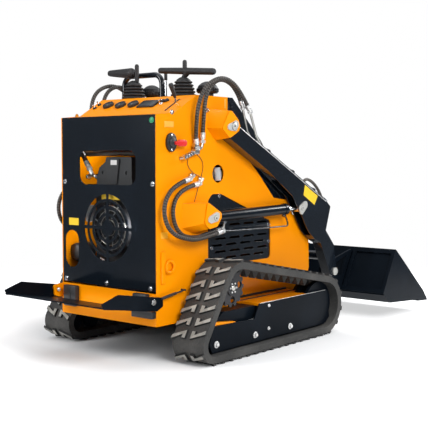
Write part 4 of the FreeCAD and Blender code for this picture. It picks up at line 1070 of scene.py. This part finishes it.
def ring_caps():
    """Grip ribs round the two filler caps, and their necks' collars."""
    form = Form("cap_ribs", "black_plastic")
    for side in (-229, 156):
        form.use("black_plastic")
        for rib in range(CAP_RIBS):
            angle = math.tau * rib / CAP_RIBS
            edge = Vector((math.cos(angle), math.sin(angle), 0))
            form.block(spot(478, side, 1291) + edge * 0.0535, (0.005, 0.005, 0.018),
                       Matrix.Rotation(angle, 3, "Z"), 0.0012, 1)
        form.use("zinc").turned(spot(478, side, CONSOLE_TOP), (0, 0, 1),
                                [(0.041, 0), (0.041, 0.003), (0.031, 0.003)])
    form.piece()


# ---- tracks

# bolts on a track's outer plate: ahead and up, and the width across their flats in metres
PLATE_BOLTS = ((614, 218, 0.010), (612, 103, 0.010), (200, 87, 0.019), (500, 87, 0.019),
               (798, 87, 0.019))
TENSION_SCREWS = ((215, 146), (262, 150), (330, 120))
SPROCKET = (350, 334)
HUB_BOLTS = 6
HUB_REACH = 23
# a tread block's dressing: how far its worn face and its foot spread and stand out, in metres
HOOK_CORNERS = 6
WORN_SPREAD, WORN_LIFT = 0.002, 0.0004
FOOT_SPREAD, FOOT_LIFT = 0.005, -0.0095
BELT_INSET = 0.0005
NEAR_GROUND = 0.005


def bolt_tracks():
    """Bolts on the frame plates, the sprocket's ring of bolts and the tail's tension screws."""
    for side in SIDES:
        form = Form(f"track_bolts_{side.name}", "satin_steel")
        for ahead, up, across in PLATE_BOLTS:
            form.bolt(side.at(ahead, FRAME_FACE, up), side.out, across)
        for step in range(HUB_BOLTS):
            turn = math.tau * step / HUB_BOLTS
            form.bolt(side.at(SPROCKET[0] + HUB_REACH * math.cos(turn), SPROCKET_FACE,
                              SPROCKET[1] + HUB_REACH * math.sin(turn)),
                      side.out, 0.009, washer=False)
        # bright strip on the outer plate's top edge, a painted highlight
        edge = FRAME_FACE + 1.5, LEDGE_TOP + 0.5
        form.rod(side.at(538, *edge), side.at(1128, *edge), 0.0012, sides=8)
        # dark strip where the ledge meets the body, a painted shadow, and the edge of the flange on
        # the ledge
        form.use("dark_cast").block(side.at(785, BODY_FACE + 2, LEDGE_TOP + 6),
                                    (0.480, 0.005, 0.012), edge=0.002)
        form.block(side.at(785, 384, LEDGE_TOP + 1), (0.480, 0.012, 0.004), edge=0.001)
        for ahead, up in TENSION_SCREWS:
            form.bolt(side.at(ahead, 399, up), -side.out, 0.018)
        form.use("zinc").turned(side.at(SPROCKET[0], SPROCKET_FACE, SPROCKET[1]), side.out,
                                [(0.014, 0), (0.014, 0.004), (0.011, 0.007), (0, 0.008)])
        form.piece()


def grown(corners, out, reach):
    """A flat outline with its edges moved outwards by reach."""
    count, moved = len(corners), []
    for index, corner in enumerate(corners):
        before = (corner - corners[index - 1]).normalized().cross(out)
        after = (corners[(index + 1) % count] - corner).normalized().cross(out)
        moved.append(corner + (before + after) * (reach / (1 + before.dot(after))))
    return moved


def dress_treads():
    """Drafted flanks round the tread blocks in black painted shade, and pale worn faces on their
    outer ends.
    """
    for side in SIDES:
        belt = bmesh.new()
        belt.from_mesh(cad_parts[f"track_{side.name}"].data)
        bmesh.ops.remove_doubles(belt, verts=belt.verts, dist=1e-5)
        bmesh.ops.dissolve_limit(belt, angle_limit=0.01, verts=belt.verts, edges=belt.edges)
        belt.normal_update()
        low, high = [Vector(corner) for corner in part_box(f"track_{side.name}")]
        form = Form(f"tread_tips_{side.name}", "lug_tip")
        for face in belt.faces:
            middle, out = face.calc_center_median(), face.normal.copy()
            corners = [vert.co.copy() for vert in face.verts]
            faces_out = out.dot(middle - (low + high) / 2) > 0 and abs(out.y) < 0.02
            if len(corners) != HOOK_CORNERS or not faces_out:
                continue
            # near the ground the worn face stays inside the block's own, so nothing sinks below
            rise = WORN_LIFT if min(corner.z for corner in corners) > NEAR_GROUND else -WORN_LIFT
            rings = []
            for spread, lift in ((WORN_SPREAD, rise), (FOOT_SPREAD, FOOT_LIFT)):
                ring = grown(corners, out, spread)
                for corner in ring:
                    corner.y = min(max(corner.y, low.y + BELT_INSET), high.y - BELT_INSET)
                rings.append([form.mesh.verts.new(corner + out * lift) for corner in ring])
            worn_edge, foot = rings
            form.mesh.faces.new(foot[::-1])
            for index in range(HOOK_CORNERS):
                after = (index + 1) % HOOK_CORNERS
                form.mesh.faces.new((worn_edge[index], worn_edge[after], foot[after], foot[index]))
            # painted shade: the flanks and the buried foot are black
            form.use("hose_gap").mark(foot)
            worn = form.mesh.faces.new(worn_edge)
            worn.material_index = form.use("lug_tip").current
        belt.free()
        form.piece()


# ---- stage

# each softbox: place in metres, width and depth, power from the settings
SOFTBOXES = {
    "key": ((-1.7, -3.9, 2.9), (2.4, 1.8), "key_power"),
    "top": ((-0.2, 0.4, 4.4), (4.5, 3.5), "top_power"),
    "side": ((-4.4, 1.6, 2.2), (1.6, 2.2), "fill_power"),
    "front": ((4.2, -1.7, 2.9), (1.8, 0.7), "front_power"),
}
# small lamps inside the engine bay: place and aim in millimetres, share of the bay's power
BAY_LAMPS = (((150, 180, 1050), (150, 320, 880), 1.0), ((40, 192, 540), (130, 320, 620), 0.35),
             ((24, -200, 640), (70, 0, 640), 1.6))
BAY_LAMP_SIZE = (0.05, 0.05)
# the floor, in metres: its half width, and where its fade and its glow start and how wide they are;
# the glow is painted light that lightens the shadows ahead of and round the machine
FLOOR_REACH = 9.0
FLOOR_FADE = (2.2, 1.2)
PAINTED_LIGHT_AHEAD = (REAR + 1.12, 0.35)
PAINTED_LIGHT_ROUND = (0.85, 0.8)
PAINTED_LIGHT_COLOUR = (0.6, 0.6, 0.6)
# the room's colours from the ground up
ROOM_TONES = ((0.0, (0.16, 0.18, 0.21)), (0.35, (0.26, 0.29, 0.33)), (1.0, (0.60, 0.60, 0.61)))


def hang_lamp(name, place, aim, power, extent):
    """A softbox at a place, turned to what it lights."""
    data = bpy.data.lights.new(name, "AREA")
    data.shape = "RECTANGLE"
    data.size, data.size_y = extent
    data.energy = power
    lamp = put(name, data)
    lamp.location = place
    lamp.rotation_euler = (place - aim).to_track_quat("Z", "Y").to_euler()


def room():
    """A world that is white to the camera, and dim and bluish low down to everything else."""
    world = bpy.data.worlds.new("room")
    bpy.context.scene.world = world
    world.use_nodes = True
    sky = Nodes(world.node_tree)
    ramp = sky.add("ShaderNodeValToRGB", {0: sky.along("Z", "Generated")})
    stops = ramp.socket.node.color_ramp.elements
    stops.new(ROOM_TONES[1][0])
    for stop, (height, colour) in zip(stops, ROOM_TONES):
        stop.position = height
        stop.color = (*colour, 1)
    dim = sky.only("BACKGROUND")
    sky.plug(dim.inputs["Color"], ramp)
    sky.plug(dim.inputs["Strength"], sizes().sky)
    white = sky.add("ShaderNodeBackground", {"Color": (1, 1, 1)})
    seen = sky.add("ShaderNodeLightPath", {}, "Is Camera Ray")
    mixed = sky.add("ShaderNodeMixShader", {0: seen, 1: Wire(sky, dim.outputs[0]), 2: white})
    sky.plug(sky.only("OUTPUT_WORLD").inputs["Surface"], mixed)


def set_stage():
    """A white floor that fades into the room and glows away from the machine, painted light that
    lightens the shadows there, and softboxes.
    """
    finish = Finish("studio_floor", Roughness=0.9)
    ahead, across = finish.along("X"), finish.along("Y")
    reach = (ahead * ahead + across * across) ** 0.5
    # painted light: the floor glows ahead of the machine and away from it, so the shadows there
    # stay light
    lift = (ahead.above(*PAINTED_LIGHT_AHEAD) + reach.above(*PAINTED_LIGHT_ROUND)).clamped()
    finish.feed(Base_Color=tuple(colours().floor), Specular_IOR_Level=0.0,
                Emission_Color=finish.blend(lift, (0, 0, 0), PAINTED_LIGHT_COLOUR), Emission_Strength=1.0,
                Alpha=1.0 - reach.above(*FLOOR_FADE))
    form = Form("studio_floor", "studio_floor")
    form.plate([Vector((x * FLOOR_REACH, y * FLOOR_REACH, 0))
                for x, y in ((-1, -1), (1, -1), (1, 1), (-1, 1))], Vector((0, 0, -0.02)))
    form.piece(None)
    room()
    middle = (Vector(CAD_BOX[0]) + Vector(CAD_BOX[1])) / 2
    for name, (place, extent, power) in SOFTBOXES.items():
        hang_lamp(name, Vector(place), middle, getattr(sizes(), power), extent)
    for place, aim, share in BAY_LAMPS:
        hang_lamp("bay", spot(*place), spot(*aim), sizes().bay_power * share, BAY_LAMP_SIZE)
    bpy.context.scene.view_settings.view_transform = "Standard"


# ---- operators and panel

class LOADER_OT_camera(bpy.types.Operator):
    """Set the camera behind the machine's right-hand corner"""
    bl_idname = "loader.camera"
    bl_label = "Camera"

    def execute(self, context):
        set_camera()
        return {"FINISHED"}


class LOADER_OT_finishes(bpy.types.Operator):
    """Make every finish of the machine"""
    bl_idname = "loader.finishes"
    bl_label = "Finishes"

    def execute(self, context):
        make_finishes()
        return {"FINISHED"}


class LOADER_OT_solids(bpy.types.Operator):
    """Give every solid of the machine its finish"""
    bl_idname = "loader.solids"
    bl_label = "Solids"

    def execute(self, context):
        paint_solids()
        return {"FINISHED"}


class LOADER_OT_hoses(bpy.types.Operator):
    """Lay the hydraulic hoses"""
    bl_idname = "loader.hoses"
    bl_label = "Hoses"

    def execute(self, context):
        lay_hoses()
        return {"FINISHED"}


class LOADER_OT_fittings(bpy.types.Operator):
    """Fit the hoses' crimps, elbows and adapters"""
    bl_idname = "loader.fittings"
    bl_label = "Hose fittings"

    def execute(self, context):
        fit_hose_ends()
        fit_barrel_pipes()
        run_wires()
        return {"FINISHED"}


class LOADER_OT_arms(bpy.types.Operator):
    """Fit the arms' pipe ends, clamps and labels"""
    bl_idname = "loader.arms"
    bl_label = "Arm hardware"

    def execute(self, context):
        fit_arm_ends()
        return {"FINISHED"}


class LOADER_OT_sides(bpy.types.Operator):
    """Fit the side plates' screws, rings and the isolator"""
    bl_idname = "loader.sides"
    bl_label = "Side hardware"

    def execute(self, context):
        dress_side_plates()
        head_pins()
        fit_isolator()
        return {"FINISHED"}


class LOADER_OT_rear(bpy.types.Operator):
    """Fit the rear panel's hardware and what shows behind it"""
    bl_idname = "loader.rear"
    bl_label = "Rear hardware"

    def execute(self, context):
        dress_rear_panel()
        fill_engine_bay()
        return {"FINISHED"}


class LOADER_OT_console(bpy.types.Operator):
    """Set the console's instruments, levers and caps"""
    bl_idname = "loader.console"
    bl_label = "Console"

    def execute(self, context):
        set_instruments()
        ring_caps()
        return {"FINISHED"}


class LOADER_OT_tracks(bpy.types.Operator):
    """Bolt the track frames and dress the treads"""
    bl_idname = "loader.tracks"
    bl_label = "Track hardware"

    def execute(self, context):
        bolt_tracks()
        dress_treads()
        return {"FINISHED"}


class LOADER_OT_stage(bpy.types.Operator):
    """Set the floor and the lights"""
    bl_idname = "loader.stage"
    bl_label = "Stage"

    def execute(self, context):
        set_stage()
        return {"FINISHED"}


STEPS = (LOADER_OT_camera, LOADER_OT_finishes, LOADER_OT_hoses, LOADER_OT_solids,
         LOADER_OT_fittings, LOADER_OT_arms, LOADER_OT_sides, LOADER_OT_rear, LOADER_OT_console,
         LOADER_OT_tracks, LOADER_OT_stage)


class LOADER_PT_looks(bpy.types.Panel):
    """The machine's settings and makers, in the 3D view's sidebar"""
    bl_idname = "LOADER_PT_looks"
    bl_label = "Mini track loader"
    bl_space_type = "VIEW_3D"
    bl_region_type = "UI"
    bl_category = "Loader"

    def draw(self, context):
        for group in (context.scene.loader_colours, context.scene.loader_sizes):
            for name in group.bl_rna.properties.keys():
                if name not in ("rna_type", "name"):
                    self.layout.prop(group, name)
        for step in STEPS:
            self.layout.operator(step.bl_idname)


CLASSES = (LoaderColours, LoaderSizes, *STEPS, LOADER_PT_looks)


def register():
    for entry in CLASSES:
        bpy.utils.register_class(entry)
    bpy.types.Scene.loader_colours = PointerProperty(type=LoaderColours)
    bpy.types.Scene.loader_sizes = PointerProperty(type=LoaderSizes)


def unregister():
    del bpy.types.Scene.loader_sizes
    del bpy.types.Scene.loader_colours
    for entry in reversed(CLASSES):
        bpy.utils.unregister_class(entry)


def main():
    """Make every piece in order."""
    register()
    for step in STEPS:
        group, name = step.bl_idname.split(".")
        getattr(getattr(bpy.ops, group), name)()


if __name__ == "__main__":
    main()
